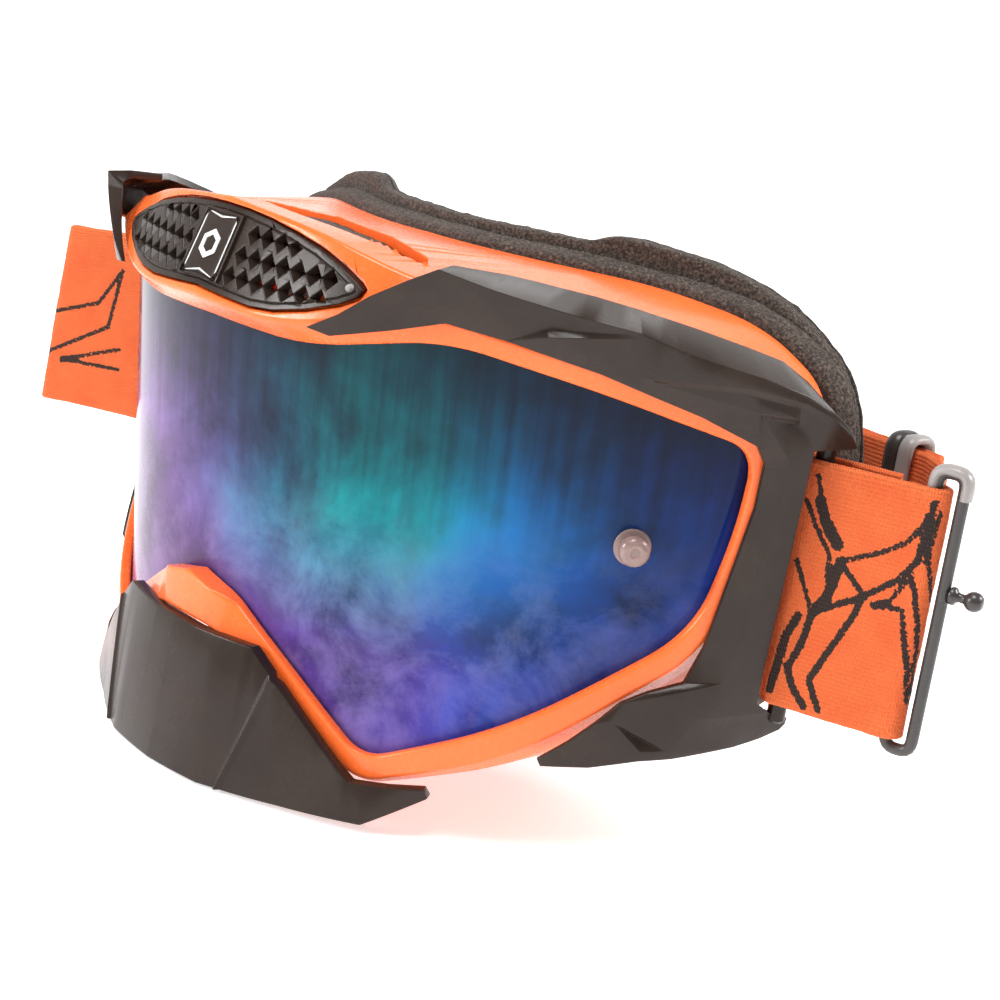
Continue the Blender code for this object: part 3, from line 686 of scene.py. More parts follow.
def face_frame():
    opening = rounded(mirrored(OPENING))
    crest = rounded(mirrored(CREST))
    shoulder = rounded(mirrored(SHOULDER))
    rear = rounded(mirrored(FLANGE))
    rear_inner = rounded(inset(mirrored(FLANGE), 10.5))
    groove = grown(opening, 2.35)
    lip = []
    for p in opening:
        nose = max(0, min(1, (12 - abs(p[0])) / 5)) if p[1] < -20 else 0
        lip.append(wrapped(p[0], p[1], 2.6 + 2.6 * nose))
    inner_shoulder = rounded(inset(mirrored(SHOULDER), 2.4))
    for p, lens_edge in zip(inner_shoulder, groove):
        p[2] = -5.2
        if (p.xy - lens_edge.xy).length < 1.2:
            p.xy = lens_edge.xy
    rings = [
        at_depth(opening, GAP),
        lip,
        [wrapped(*p) for p in crest],
        [wrapped(*p) for p in shoulder],
        at_rear(rear, -3.0),
        at_rear(rear, 0),
        at_rear(rear_inner, 0),
        at_rear(rear_inner, -2.2),
        at_rear(rounded(inset(mirrored(FLANGE), 2.6)), -2.8),
        [wrapped(*p) for p in inner_shoulder],
        at_depth(opening, -LENS_T - 2.6),
        at_depth(opening, -LENS_T - GAP),
        at_depth(groove, -LENS_T - GAP),
        at_depth(groove, GAP),
    ]
    columns = [list(column) for column in zip(*rings)]
    made = lofted("frame_shell", columns, ORANGE, radius=0.7, tight=(11, 12, 13))
    panel = [Vector(p) for p in mirrored(VENT_PANEL)]
    cutters = [
        face_plate("vent_pocket", grown(panel, 0.45), brow(-2.2), brow(6), None),
        face_plate("brow_vent", grown(panel, -1.6), level(-14), level(12), None),
        plan_plate("top_vent", TOP_VENT, level(36), level(60), None),
    ]
    for side, _ in SIDES:
        outline = [(side * p[0], p[1]) for p in SIDE_VENT]
        cutters.append(plan_plate("side_vent", outline, level(28), level(60), None))
    cut(made, *cutters)
    softened(made, 0.35, 50)
    return stands(made, ROOT, "gloss_orange_plastic", "face_frame")


def lens():
    outline = grown(rounded(mirrored(OPENING)), 2.0)
    made = face_plate("lens_shield", outline, level(-LENS_T), level(0), LENS, cells=2.0)
    return stands(made, ROOT, "mirror_lens", "lens")


POST_U = 85.6
POST_Z = 1.9
# Pieces of a tear-off post: name, node that it replaces, and profile as (radius, d).
POST_PIECES = (
    ("post_head_", "tear_off_post_", (
        (1.1, -3.6), (1.1, 0.75), (1.25, 0.9), (1.9, 1.0), (2.55, 1.7), (2.72, 2.1), (2.75, 2.6),
        (2.7, 3.1), (2.55, 3.55), (2.2, 3.95), (1.7, 4.22), (1.1, 4.3), (0.8, 4.2), (0.75, 4.05),
    )),
    ("post_ring_", "", ((1.4, 0.05), (3.15, 0.05), (3.3, 0.2), (3.3, 0.45), (3.1, 0.62), (1.4, 0.62))),
    ("post_nut_", "post_washer_", ((2.4, -2.95), (2.6, -2.8), (2.6, -1.7), (2.4, -1.6))),
)


def tear_off_posts():
    for side, word in SIDES:
        for name, node, profile in POST_PIECES:
            post = turned(name + word, profile, side * POST_U, POST_Z, CLEAR)
            stands(post, ROOT, "clear_plastic", *([node + word] if node else []))


PIT_ROWS = ((42.6, 9.0), (38.8, 7.9), (35.1, 7.0), (32.4, 6.1))
PIT_STEP = 3.35
PIT_HALF = 1.52
PIT_MOST = 1.75
PIT_RIM = 0.9
MARK_R = 2.6
MARK_Z = 39.5
MARK_HOLLOW = 0.62
PIN_PROFILE = ((0.75, 0.2), (0.75, 3.6), (0.62, 3.95), (0.35, 4.1))


def pit_places():
    panel_top = VENT_PANEL[:8]
    panel_low = VENT_PANEL[7:]
    for z, start in PIT_ROWS:
        for k in range(9):
            u = start + k * PIT_STEP
            room_up = between(panel_top, u) - z - PIT_RIM
            room_low = z - between(panel_low, u) - PIT_RIM
            if room_up < 0.6 or room_low < 0.2 or u > 29.5:
                continue
            yield u, z, min(PIT_MOST, room_up), min(PIT_MOST, room_low)


def pits():
    """The cutter of the grille's diamond pits."""
    bm = bmesh.new()
    for side, _ in SIDES:
        for u, z, up, low in pit_places():
            rings = []
            for share, depth in ((1.25, 0.65), (0.42, -2.6)):
                ring = []
                for du, dz in ((-PIT_HALF, 0), (0, up), (PIT_HALF, 0), (0, -low)):
                    spot = (u + du * share, z + dz * share)
                    ring.append(bm.verts.new(wrapped(side * spot[0], spot[1], brow(depth)(*spot))))
                rings.append(ring)
            skin(bm, rings)
    return piece_of("pits", bm, None)


def groove_cutter(outer, inner, low, high, core_low, core_high):
    """The cutter of a groove in the brow, between two outlines."""
    groove = face_plate("groove", outer, brow(low), brow(high), None, 2.0)
    return cut(groove, face_plate("core", inner, brow(core_low), brow(core_high), None, 2.0))


def vent_grille():
    panel = [Vector(p) for p in mirrored(VENT_PANEL)]
    made = face_plate("vent_panel", panel, brow(-1.9), brow(), DARK, 2.0)
    cutter = pits()
    cut(made, cutter, groove_cutter(grown(panel, -0.95), grown(panel, -1.2), -0.28, 2, -3, 3))
    softened(made, 0.16, 50)
    stands(made, ROOT, "satin_dark_plastic", "vent_grille")
    plate = face_plate("badge", mirrored(BADGE), brow(-0.1), brow(0.75), DARK, 2.0)
    rings = [grown([Vector(p) for p in mirrored(BADGE)], by) for by in (-0.55, -0.85, -1.15, -1.4)]
    for outer, inner in (rings[:2], rings[2:]):
        cut(plate, groove_cutter(outer, inner, 0.5, 2, -1, 4))
    softened(plate, 0.12, 50)
    stands(plate, ROOT, "satin_dark_plastic", "badge_plate")
    turns = [math.pi * k / 3 for k in range(6)]
    hexagon = [(MARK_R * math.sin(turn), MARK_Z + MARK_R * math.cos(turn)) for turn in turns]
    mark = face_plate("badge_mark", hexagon, brow(0.6), brow(0.95), MARK, 2.0)
    hollow = [(p[0] * MARK_HOLLOW, MARK_Z + (p[1] - MARK_Z) * MARK_HOLLOW) for p in hexagon]
    cut(mark, face_plate("core", hollow, brow(-1), brow(4), None, 2.0))
    stands(mark, ROOT, "satin_dark_plastic")
    pin = turned("vent_pin", PIN_PROFILE, 32.2, 38.2, GREY, steps=20)
    stands(pin, ROOT, "satin_dark_plastic")


# ---------------------------------------------------------------- outriggers and nose guard

ARM_POINTS = {
    "T": (27.0, 30.7, 7.6), "I1": (31.3, 30.1, 7.3), "I2": (42, 33.3, 6.0), "I3": (50, 36.0, 5.2),
    "I4": (60, 34.9, 5.0), "I5": (75, 32.0, 5.0), "I6": (92, 27.0, 5.0), "I7": (102.2, 22.9, 5.0),
    "I8": (104, 20, 5.0), "I9": (104, 12, 5.0), "I10": (102.6, 2, 5.0), "I11": (100.2, -14, 5.0),
    "I12": (98, -20.6, 5.0), "I13": (92, -22.9, 5.0), "I14": (87.6, -25.4, 5.0), "I15": (84.0, -29.6, 5.0),
    "I16": (79.6, -34.0, 5.0), "I17": (74.9, -37.9, 4.8),
    "B1": (75.7, -39.4, 4.4), "B2": (84, -38.2, 5.2), "B3": (92, -35.9, 5.8), "B4": (98, -34.9, 6.0),
    "B5": (109.4, -32.3, 5.6), "B6": (114.2, -30.9, 5.2), "B7": (118.4, -29.4, 4.7),
    "O1": (119.4, -27.0, 4.8), "g2": (119.2, -28.2, 4.9), "S3": (114.6, -25.4, 6.0),
    "S2": (111.4, -23.4, 6.5), "S1": (111.4, 23.2, 6.5), "O2": (120.4, 23.6, 4.7),
    "U1": (32.8, 34.2, 7.7), "U2": (38, 38.4, 7.5), "U3": (44, 42.3, 7.2),
    "T1": (48.3, 44.9, 6.9), "T2": (57, 43.2, 7.1), "T3": (61.6, 42.5, 7.1), "T4": (72.3, 40.9, 7.0),
    "T5": (80.2, 39.9, 6.9), "T5b": (82.2, 39.3, 6.9), "T6": (86.3, 38.0, 6.8), "T7": (91, 36.9, 6.7),
    "T8": (100.5, 34.9, 6.5), "T9": (108.6, 32.6, 6.2), "T10": (114, 29.9, 5.8), "T11": (117.8, 27.2, 5.3),
    "T12": (119.7, 25.2, 4.9),
    "P1": (66.0, 37.9, 5.4), "P2": (66.4, 36.9, 6.7),
    "a": (83, 32.7, 6.7), "b": (98.4, 33.0, 7.1), "c": (108, 31.3, 6.8), "e": (113.6, 28.9, 6.3),
    "a2": (83.6, 32.0, 5.9), "b2": (98.2, 32.1, 6.2), "c2": (107.4, 30.4, 6.0), "e2": (112.9, 28.0, 5.8),
    "C3": (101, 29.0, 6.5), "C4": (107.6, 28.4, 6.6),
    "C3b": (101.4, 28.2, 5.7), "C4b": (107.8, 27.6, 5.7),
    "J": (107.3, 21.2, 6.9), "K0": (106.9, 12.6, 7.0), "K1": (106.3, 1, 7.0), "K3": (104.5, -16.5, 7.0),
    "K4": (103.7, -19.6, 6.9), "g1": (101, -26.4, 7.0), "r0": (86.5, -28.7, 5.6), "r1": (97.2, -33.3, 6.3),
    "r2": (92.3, -33.9, 6.0), "rc": (91.8, -31.9, 4.9),
}
ARM_FACES = (
    "T I1 I2 U2 U1", "I2 I3 T1 U3 U2", "I3 I4 T3 T2 T1", "T3 T4 T5 P1 I4", "P1 T5 T5b P2", "I4 P1 P2",
    "P2 T5b T6 a I5 I4", "T6 T7 T8 b a", "T8 T9 c b", "T9 T10 e c", "T10 T11 T12 e",
    "a b b2 a2", "b c c2 b2", "c e e2 c2", "I5 a a2 C3 I6", "a2 b2 C4 C3", "b2 c2 C4", "c2 e2 C4b C4",
    "C3 C4 C4b C3b", "C3b C4b S1 J", "C4b e2 e T12 O2 S1", "I6 C3 C3b J I7",
    "I7 J I8", "I8 J K0 I9", "I9 K0 K1 I10", "I10 K1 K3 I11", "I11 K3 K4 I12", "I12 K4 I14 I13",
    "J S1 S2 K4 K3 K1 K0", "I14 K4 S2 S3 g1", "S3 O1 g2 g1", "I14 g1 r1 r0", "g1 g2 B7 B6 B5 r1",
    "r0 r1 rc", "r1 r2 rc", "r2 r0 rc", "I14 r0 I15", "r0 r2 B3 B2 B1 I17 I16 I15",
    "r2 r1 B4 B3", "r1 B5 B4",
)
# The top wall: where its rear edge runs, against the points of the front edge.
ARM_REAR = {
    "T1": (49.2, 45.4), "T2": (57, 44.6), "T3": (62, 44.3), "T4": (72.3, 43.4), "T5": (80.2, 42.3),
    "T5b": (82.2, 41.9), "T6": (86.3, 41.2), "T7": (91, 40.3), "T8": (100.5, 38.2), "T9": (107.6, 36.4),
    "T10": (113.4, 33.2), "T11": (117.6, 29.6), "T12": (120, 26.6),
}


ARM_BACK_D = 3.85
ARM_WALL_T = 1.9
ARM_WALL_REAR_T = 1.5
ARM_WALL_D = -4.0
BAR_SIDES = 16
BAR_PROFILE = ((1.2, -27.4), (BAR_R, -26.9), (BAR_R, 24.7), (1.2, 25.2))


def outrigger_back(u, z, _):
    """Depth of the outrigger's back; its root on the brow stands further out."""
    return ARM_BACK_D + max(0, (47 - abs(u)) * 0.15 if z > 0 else 0)


def outriggers():
    points = dict(ARM_POINTS)
    wall = []
    keys = list(ARM_REAR)
    for key, (u, z) in ARM_REAR.items():
        front = points[key]
        points[key] = (*front, (front[0], front[1] - ARM_WALL_T, outrigger_back(front[0], 10, 0)))
        depth = ARM_WALL_D if key != "T1" else 2.2
        points["R" + key] = (u, z, depth, (u, z - ARM_WALL_REAR_T, depth))
    for key, other in zip(keys, keys[1:]):
        wall.append(f"{key} {other} R{other} R{key}")
    for side, word in SIDES:
        plate = facets("outrigger_shell_" + word, points, (*ARM_FACES, *wall), outrigger_back, DARK, side)
        stands(plate, ROOT, "satin_dark_plastic", "outrigger_" + word)
        middle = wrapped(side * BAR_U, BAR_MIDDLE, BAR_D)
        bm = bmesh.new()
        rows = []
        for radius, z in BAR_PROFILE:
            row = []
            for k in range(BAR_SIDES):
                turn = k * 2 * math.pi / BAR_SIDES
                x = middle.x + math.cos(turn) * radius * MM
                y = middle.y + math.sin(turn) * radius * MM
                row.append(bm.verts.new((x, y, (z - ORIGIN.z) * MM)))
            rows.append(row)
        skin(bm, rows)
        bar = piece_of("outrigger_bar_" + word, bm, DARK)
        stands(bar, ROOT, "satin_dark_plastic")


GUARD_T = 2.6
GUARD_POINTS = {
    "m1": (0, -30.4, 7.6), "m2": (0, -58.6, 12.5),
    "n1": (6.2, -30.6, 7.5), "n2": (13.3, -58.4, 12.1),
    "A1": (19.5, -30.4, 6.4), "L1": (23.9, -34.2, 6.2), "L2": (16.7, -58.3, 11.2),
    "c1": (24.6, -34.9, 6.9), "c2": (17.4, -58.3, 11.9), "q1": (25.6, -35.7, 6.1), "q2": (18.2, -58.2, 11.0),
    "w1": (39.0, -47.6, 5.8), "w2": (29.2, -57.9, 8.6), "w3": (42, -50.0, 5.6), "w4": (45.4, -57.1, 6.9),
    "x1": (48.5, -49.4, 4.9), "x2": (55.4, -48.6, 3.5), "x3": (56.4, -50.4, 3.0),
}
GUARD_FACES = (
    "m1 n1 n2 m2", "n1 A1 L1 L2 n2", "L1 c1 c2 L2", "c1 q1 q2 c2", "q1 w1 w2 q2", "w1 w3 w4 w2",
    "w3 x1 x2 x3 w4",
)


def nose_guard():
    made = facets(
        "nose_guard_shell", GUARD_POINTS, GUARD_FACES, lambda u, z, d: d - GUARD_T, DARK,
        mirror=True, bevel=0.3,
    )
    stands(made, "guard_body", "satin_dark_plastic", "nose_guard")


# ---------------------------------------------------------------- soft goods

def roughened(piece, *waves):
    """Moves each vertex along its normal by noise; a wave is (size in mm, depth in mm)."""
    mesh = piece.data
    moved = []
    for vert in mesh.vertices:
        depth = sum(noise.noise(vert.co / (size * MM)) * reach for size, reach in waves)
        moved.append(vert.co + vert.normal * depth * MM)
    for vert, spot in zip(mesh.vertices, moved):
        vert.co = spot
    mesh.update()
    return piece


def evenly(points, spacing):
    """The closed line again, with its points the same distance apart."""
    lengths = [(b - a).length for a, b in zip(points, points[1:] + points[:1])]
    count = round(sum(lengths) / spacing)
    step = sum(lengths) / count
    spots = []
    passed = 0.0
    for a, b, length in zip(points, points[1:] + points[:1], lengths):
        while len(spots) < count and len(spots) * step < passed + length:
            spots.append(a.lerp(b, (len(spots) * step - passed) / length))
        passed += length
    return spots


def pad_section(front, back, width, swell_front, swell_back, edge):
    """(growth, back) round a pad layer's cross-section, its corners rounded by the edge."""
    corners = [
        Vector((swell_front - width, front)), Vector((swell_front, front)),
        Vector((swell_back, back)), Vector((swell_back - width, back)),
    ]
    section = []
    for i, here in enumerate(corners):
        before = corners[i - 1]
        after = corners[(i + 1) % 4]
        start = here.lerp(before, min(0.45, edge / (here - before).length))
        end = here.lerp(after, min(0.45, edge / (here - after).length))
        section += bend(start, here, end, 4)
        next_start = after.lerp(here, min(0.45, edge / (here - after).length))
        gap = (next_start - end).length
        for step in range(1, max(2, round(gap / 1.1))):
            section.append(end.lerp(next_start, step / max(2, round(gap / 1.1))))
    return section


def pad_layer(name, outer, section, material, waves):
    outline = evenly(rounded(mirrored(outer)), 1.3)
    rings = [at_rear(grown(outline, by), back) for by, back in section]
    bm = bmesh.new()
    rows = [[bm.verts.new(spot) for spot in ring] for ring in rings]
    skin(bm, rows, closed=True)
    return roughened(piece_of(name, bm, material, 180), *waves)


def face_pad():
    layers = (
        ("pad_base", "pad_base_foam", FLANGE, (0.35, 4.8, 12.8, 1.2, 2.8, 1.3), FOAM, "dark_foam"),
        ("pad_middle", "pad_middle_foam", PAD_TOP, (5.1, 8.6, 12, 2.6, 2.8, 1.2), FOAM, "dark_foam"),
        ("pad_face", "pad_fleece", PAD_TOP, (8.85, 10.3, 11.6, 2.8, 2.0, 0.6), FLEECE, "fleece"),
    )
    for name, node, outer, shape, material, finish in layers:
        front, back, width, swell_front, swell_back, edge = shape
        section = pad_section(front, back, width, swell_front, swell_back, edge)
        layer = pad_layer(name, outer, section, material, ((16, 0.4), (2.4, 0.22), (1.0, 0.16)))
        stands(layer, ROOT, finish, node)


FOAM_SHARE = 0.93


def shrunk(outline):
    """The outline of a filter foam in its vent."""
    u = sum(p[0] for p in outline) / len(outline)
    d = sum(p[1] for p in outline) / len(outline)
    return [(u + (p[0] - u) * FOAM_SHARE, d + (p[1] - d) * FOAM_SHARE) for p in outline]


def filter_foams():
    panel = grown([Vector(p[:2]) for p in mirrored(VENT_PANEL)], -3.0)
    brow_foam = face_plate("brow_filter", panel, level(-9.2), level(-6.2), FOAM, 1.3)
    made = [(brow_foam, "brow_vent_foam")]
    vents = [("top_filter", "top_vent_foam", TOP_VENT)]
    for side, word in SIDES:
        outline = [(side * p[0], p[1]) for p in SIDE_VENT]
        vents.append(("side_filter_" + word, "side_vent_foam_" + word, outline))
    for name, node, outline in vents:
        foam_plate = plan_plate(
            name, shrunk(outline), lambda u, d: roof(u, d) - 3.0,
            lambda u, d: roof(u, d) - 1.2, FOAM, 1.3,
        )
        made.append((foam_plate, node))
    for piece, node in made:
        roughened(piece, (1.6, 0.2), (0.8, 0.12))
        stands(piece, ROOT, "dark_foam", node)


# ---------------------------------------------------------------- strap

LOOP_R = BAR_R + GAP + STRAP_T / 2
LOOP_LEG = 13.0
RING_BAR_R = 1.1
FOLD_R = RING_BAR_R + GAP + STRAP_T / 2
RIGHT_FOLD = Vector((-127.0, 17.6))
RIGHT_FOLD_R = 1.7
RIGHT_JOIN = Vector((-115.5, 31.6))
BAND_START = Vector((94.0, 62.5))
BAND_MIDDLE = Vector((0.0, 72.5))
TAIL_LIFT = STRAP_T + GAP + 0.3
NO_LINE = 6.0
ARC_STEPS = 22
PATH_STEPS = 12

# Black lines knitted into the strap: (half width, points), each point a place along the band and a height.
OUTER_RUN = LOOP_LEG + math.pi * LOOP_R
LEFT_LINES = [
    (0.4, [(0.5, 19.9), (1.9, 15.6)]),
    (0.95, [(1.6, 15.6), (3.6, 11.6)]),
    (1.1, [(3.6, 11.8), (6.0, 8.9)]),
    (0.4, [(-0.6, 15.2), (1.5, 11.3), (4.9, 6.9), (5.3, 2.6)]),
    (0.45, [(6.9, 6.2), (13.5, 9.4), (17.4, 12.2), (19.6, 15.6), (20.6, 20.2)]),
    (0.5, [(7.1, 6.1), (11.9, 1.6)]),
    (0.95, [(7.1, 6.1), (5.8, -1.0), (4.0, -3.8)]),
    (0.55, [(4.0, -3.8), (12.0, 1.2), (17.4, 5.7), (19.8, 9.6), (20.4, 17.2)]),
    (0.6, [(12.0, 1.2), (10.8, -3.2), (7.7, -10.5), (5.6, -15.8), (8.2, -20.6)]),
    (0.65, [(4.0, -3.8), (3.0, -10.1), (1.5, -14.8), (2.8, -17.6), (5.6, -20.8)]),
    (0.7, [(1.6, -5.0), (0.2, -9.1), (-0.8, -19.6)]),
    (0.4, [(-0.4, 4.5), (3.2, -2.9)]),
    (0.75, [(14.2, 0.2), (16.4, 1.2)]),
    (0.4, [(16.4, 1.2), (19.4, 6.9), (20.2, 4.4), (21.6, -1.6), (22.8, -11.6), (23.6, -17.4)]),
    (0.4, [(14.2, 0.2), (19.0, 0.8), (21.2, -8.6), (22.4, -15.4)]),
    (0.35, [(21.4, 18.4), (21.0, 10.2), (23.2, 2.6)]),
]
RIGHT_LINES = [
    (0.5, [(48.6, -1.6), (30.2, 4.2), (24.6, 13.2)]),
    (0.5, [(24.6, 13.2), (26.4, -1.2), (41.9, -10.0)]),
    (0.45, [(48.6, -1.6), (41.9, -10.0)]),
    (0.5, [(50.4, -13.2), (41.9, -10.0)]),
    (0.75, [(41.9, -10.0), (45.4, -20.4)]),
    (0.85, [(37.6, -11.4), (34.2, -10.6)]),
    (0.45, [(37.6, -11.4), (22.0, -6.0)]),
    (0.45, [(37.6, -11.4), (22.0, -11.2)]),
]
REAR_LINES = [
    (0.85, [(0, -6), (14, 3), (26, 0), (40, 12)]),
    (1.2, [(14, 3), (20, -8), (16, -19)]),
    (0.8, [(20, -8), (34, -4), (46, -14)]),
    (0.8, [(26, 0), (34, -4), (40, 12)]),
    (1.0, [(4, 19), (9, 10), (14, 3)]),
]
REAR_REPEAT = 46.0


def shifted(lines, along):
    return [(half, [(s + along, h) for s, h in points]) for half, points in lines]


def arc(centre, radius, start, end):
    """Points on an arc in plan, from one angle to another, in degrees."""
    spots = []
    for i in range(ARC_STEPS + 1):
        angle = math.radians(start + (end - start) * i / ARC_STEPS)
        spots.append(centre + Vector((math.cos(angle), math.sin(angle))) * radius)
    return spots


def smooth_path(points):
    """Points of a smooth curve through the given ones."""
    ends = [points[0] * 2 - points[1], *points, points[-1] * 2 - points[-2]]
    path = []
    for a, b, c, d in zip(ends, ends[1:], ends[2:], ends[3:]):
        for step in range(PATH_STEPS):
            t = step / PATH_STEPS
            path.append(
                (b * 2 + (c - a) * t + (a * 2 - b * 5 + c * 4 - d) * t ** 2
                 + (b * 3 - a - c * 3 + d) * t ** 3) / 2
            )
    return [*path, points[-1]]


def spaced(path, step):
    """The open line again, with points a step apart: (distance along it, place)."""
    lengths = [(b - a).length for a, b in zip(path, path[1:])]
    count = max(2, round(sum(lengths) / step))
    spots = []
    passed = 0.0
    for a, b, length in zip(path, path[1:], lengths):
        while len(spots) < count and len(spots) * sum(lengths) / count <= passed + length:
            reach = len(spots) * sum(lengths) / count
            spots.append((reach, a.lerp(b, (reach - passed) / length)))
        passed += length
    return [*spots, (passed, path[-1])]


def heading(a, b):
    way = b - a
    return math.degrees(math.atan2(way.y, way.x))


def bar_spot(side):
    """The strap bar's place in plan, in layout millimetres."""
    reach = FACE_R + BAR_D + LEAN * (BAR_MIDDLE - LEAN_Z)
    angle = side * BAR_U / FACE_R
    return Vector((reach * math.sin(angle), AXIS_Y - reach * math.cos(angle)))


def splay(x):
    """The strap's fold on the wearer's right leans: its top is nearer to the goggles."""
    return 0.16 * max(0, min(1, (-97 - x) / 26))


def line_distance(lines, along, height):
    """How far a place on the band is from the nearest black line, less the line's half width."""
    nearest = NO_LINE
    here = Vector((along, height))
    for half, points in lines:
        for a, b in zip(points, points[1:]):
            start = Vector(a)
            way = Vector(b) - start
            t = max(0, min(1, (here - start).dot(way) / way.length_squared))
            nearest = min(nearest, (here - start - way * t).length - half)
    return nearest


def band_section(cell):
    """(across, up) round the band's cross-section, with soft selvedges."""
    half = STRAP_T / 2
    flat = STRAP_HALF - half
    rows = round(2 * flat / cell)
    ups = [flat - 2 * flat * i / rows for i in range(rows + 1)]
    section = [(-half, up) for up in ups]
    for turn in range(1, 6):
        angle = math.pi * turn / 6
        section.append((-half * math.cos(angle), -flat - half * math.sin(angle)))
    section += [(half, up) for up in reversed(ups)]
    for turn in range(1, 6):
        angle = math.pi * turn / 6
        section.append((half * math.cos(angle), flat + half * math.sin(angle)))
    return section


def upright(x):
    return 0.0


def band(name, path, lines, outer, cell, rise=(0, 0, 0), lean=upright, round_end=0.0):
    """A knitted band that stands on edge along a path in plan.

    Its coordinates are stored in millimetres, and with them the distance to the nearest black
    line of the outer face, so that the knit and the lines follow the band round its folds.
    """
    spots = spaced(path, cell)
    section = band_section(cell)
    full = spots[-1][0]
    bm = bmesh.new()
    uv = bm.loops.layers.uv.new("band_mm")
    line = bm.verts.layers.float.new("line")
    columns = []
    places = {}
    for i, (along, point) in enumerate(spots):
        way = spots[min(i + 1, len(spots) - 1)][1] - spots[max(i - 1, 0)][1]
        across = Vector((-way.y, way.x)).normalized()
        t = along / full
        middle = STRAP_Z + rise[0] * (1 - t) ** 2 + 2 * rise[1] * t * (1 - t) + rise[2] * t ** 2
        narrow = 0.0
        if round_end and full - along < round_end:
            left = round_end - (full - along)
            narrow = round_end - math.sqrt(max(0.0, round_end ** 2 - left ** 2))
        column = []
        for out, up in section:
            wave = noise.noise(Vector((along * 0.05, up * 0.06, len(name)))) * 0.22
            up = up * (1 - narrow / STRAP_HALF)
            spot = point + across * (out + wave)
            vert = bm.verts.new(placed(spot.x + lean(point.x) * up, spot.y, middle + up))
            on_face = out * outer > 0.9 * STRAP_T / 2
            vert[line] = line_distance(lines, along, up) if on_face and lines else NO_LINE
            places[vert] = (along, up)
            column.append(vert)
        columns.append(column)
    skin(bm, columns)
    for loop in (loop for face in bm.faces for loop in face.loops):
        loop[uv].uv = places[loop.vert]
    return roughened(piece_of(name, bm, WEBBING, 80), (0.9, 0.07), (3.0, 0.08))


def strap():
    bar = bar_spot(1)
    way = heading(bar, RING_INNER)
    unit = (RING_INNER - bar).normalized()
    inward = Vector((-unit.y, unit.x))
    path = [bar + unit * LOOP_LEG + inward * LOOP_R]
    path += arc(bar, LOOP_R, way + 90, way + 270)
    path += arc(RING_INNER, FOLD_R, way - 90, way + 72)
    path.append(path[-1] + Vector((-5.0, 5.0)))
    left_end = path[-1]
    left = band("strap_side_left", path, shifted(LEFT_LINES, OUTER_RUN), -1, 0.6)
    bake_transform(left)
    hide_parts("strap_left")

    bar = bar_spot(-1)
    way = heading(bar, RIGHT_FOLD)
    unit = (RIGHT_FOLD - bar).normalized()
    inward = Vector((unit.y, -unit.x))
    path = [bar + unit * LOOP_LEG + inward * LOOP_R]
    path += arc(bar, LOOP_R, way - 90, way - 270)
    path += arc(RIGHT_FOLD, RIGHT_FOLD_R, way + 90, way - 72)
    path += [path[-1] + Vector((9.0, 9.4)), RIGHT_JOIN]
    right = band("strap_side_right", path, shifted(RIGHT_LINES, OUTER_RUN), 1, 0.7, (0, 3.5, -1), splay)
    stands(right, ROOT, "orange_webbing", "strap_right")

    path = smooth_path([left_end, Vector((104.0, 50.4)), Vector((100.6, 57.4)), BAND_START])
    path += smooth_path([
        BAND_MIDDLE, Vector((-50, 70)), Vector((-84, 61)), Vector((-103, 44.5)), RIGHT_JOIN,
    ])
    lines = []
    for i in range(5):
        lines += shifted(REAR_LINES, 20 + REAR_REPEAT * i)
    rear = band("strap_band", path, lines, -1, 1.1, (0, 0, -1), splay)
    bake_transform(rear)
    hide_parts("strap_rear")

    tail = band(
        "strap_end", [band_side(-0.01, TAIL_LIFT), band_side(0.86, TAIL_LIFT)],
        shifted(REAR_LINES, 26), -1, 1.1, round_end=8.0,
    )
    stands(tail, "strap_body", "orange_webbing", "strap_tail")


def band_side(share, out):
    """A place beside the straight stretch of the rear band."""
    way = (BAND_MIDDLE - BAND_START).normalized()
    outward = Vector((-way.y, way.x))
    if outward.y < 0:
        outward = -outward
    return BAND_START.lerp(BAND_MIDDLE, share) + outward * out


# ---------------------------------------------------------------- strap hardware

def hoop(name, centre, along, width, low, high, wire, deep, material, open_below=None):
    """An upright rounded rectangular ring of oval wire, or the part of it above a height."""
    half = width / 2
    corners = [(-half, low, 2.4), (half, low, 2.4), (half, high, 2.4), (-half, high, 2.4)]
    route = evenly(rounded(corners), 0.7)
    flat = Vector((-along.y, along.x))
    sides = 20
    bm = bmesh.new()
    rows = []
    for i, point in enumerate(route):
        step = route[(i + 1) % len(route)] - route[i - 1]
        normal = Vector((step.y, -step.x)).normalized()
        ring = []
        for k in range(sides):
            turn = 2 * math.pi * k / sides
            out = normal * math.cos(turn) * wire
            plan = centre + along * (point.x + out.x) + flat * math.sin(turn) * deep
            ring.append(bm.verts.new(placed(plan.x, plan.y, point.y + out.y)))
        rows.append((point.y, ring))
    for (height, row), (other_height, following) in zip(rows, rows[1:] + rows[:1]):
        if open_below is not None and min(height, other_height) < open_below:
            continue
        for k in range(sides):
            j = (k + 1) % sides
            bm.faces.new((row[k], row[j], following[j], following[k]))
    if open_below is not None:
        bmesh.ops.delete(bm, geom=[v for v in bm.verts if not v.link_faces], context="VERTS")
        bmesh.ops.holes_fill(bm, edges=[e for e in bm.edges if len(e.link_faces) == 1])
    return piece_of(name, bm, material, 60)


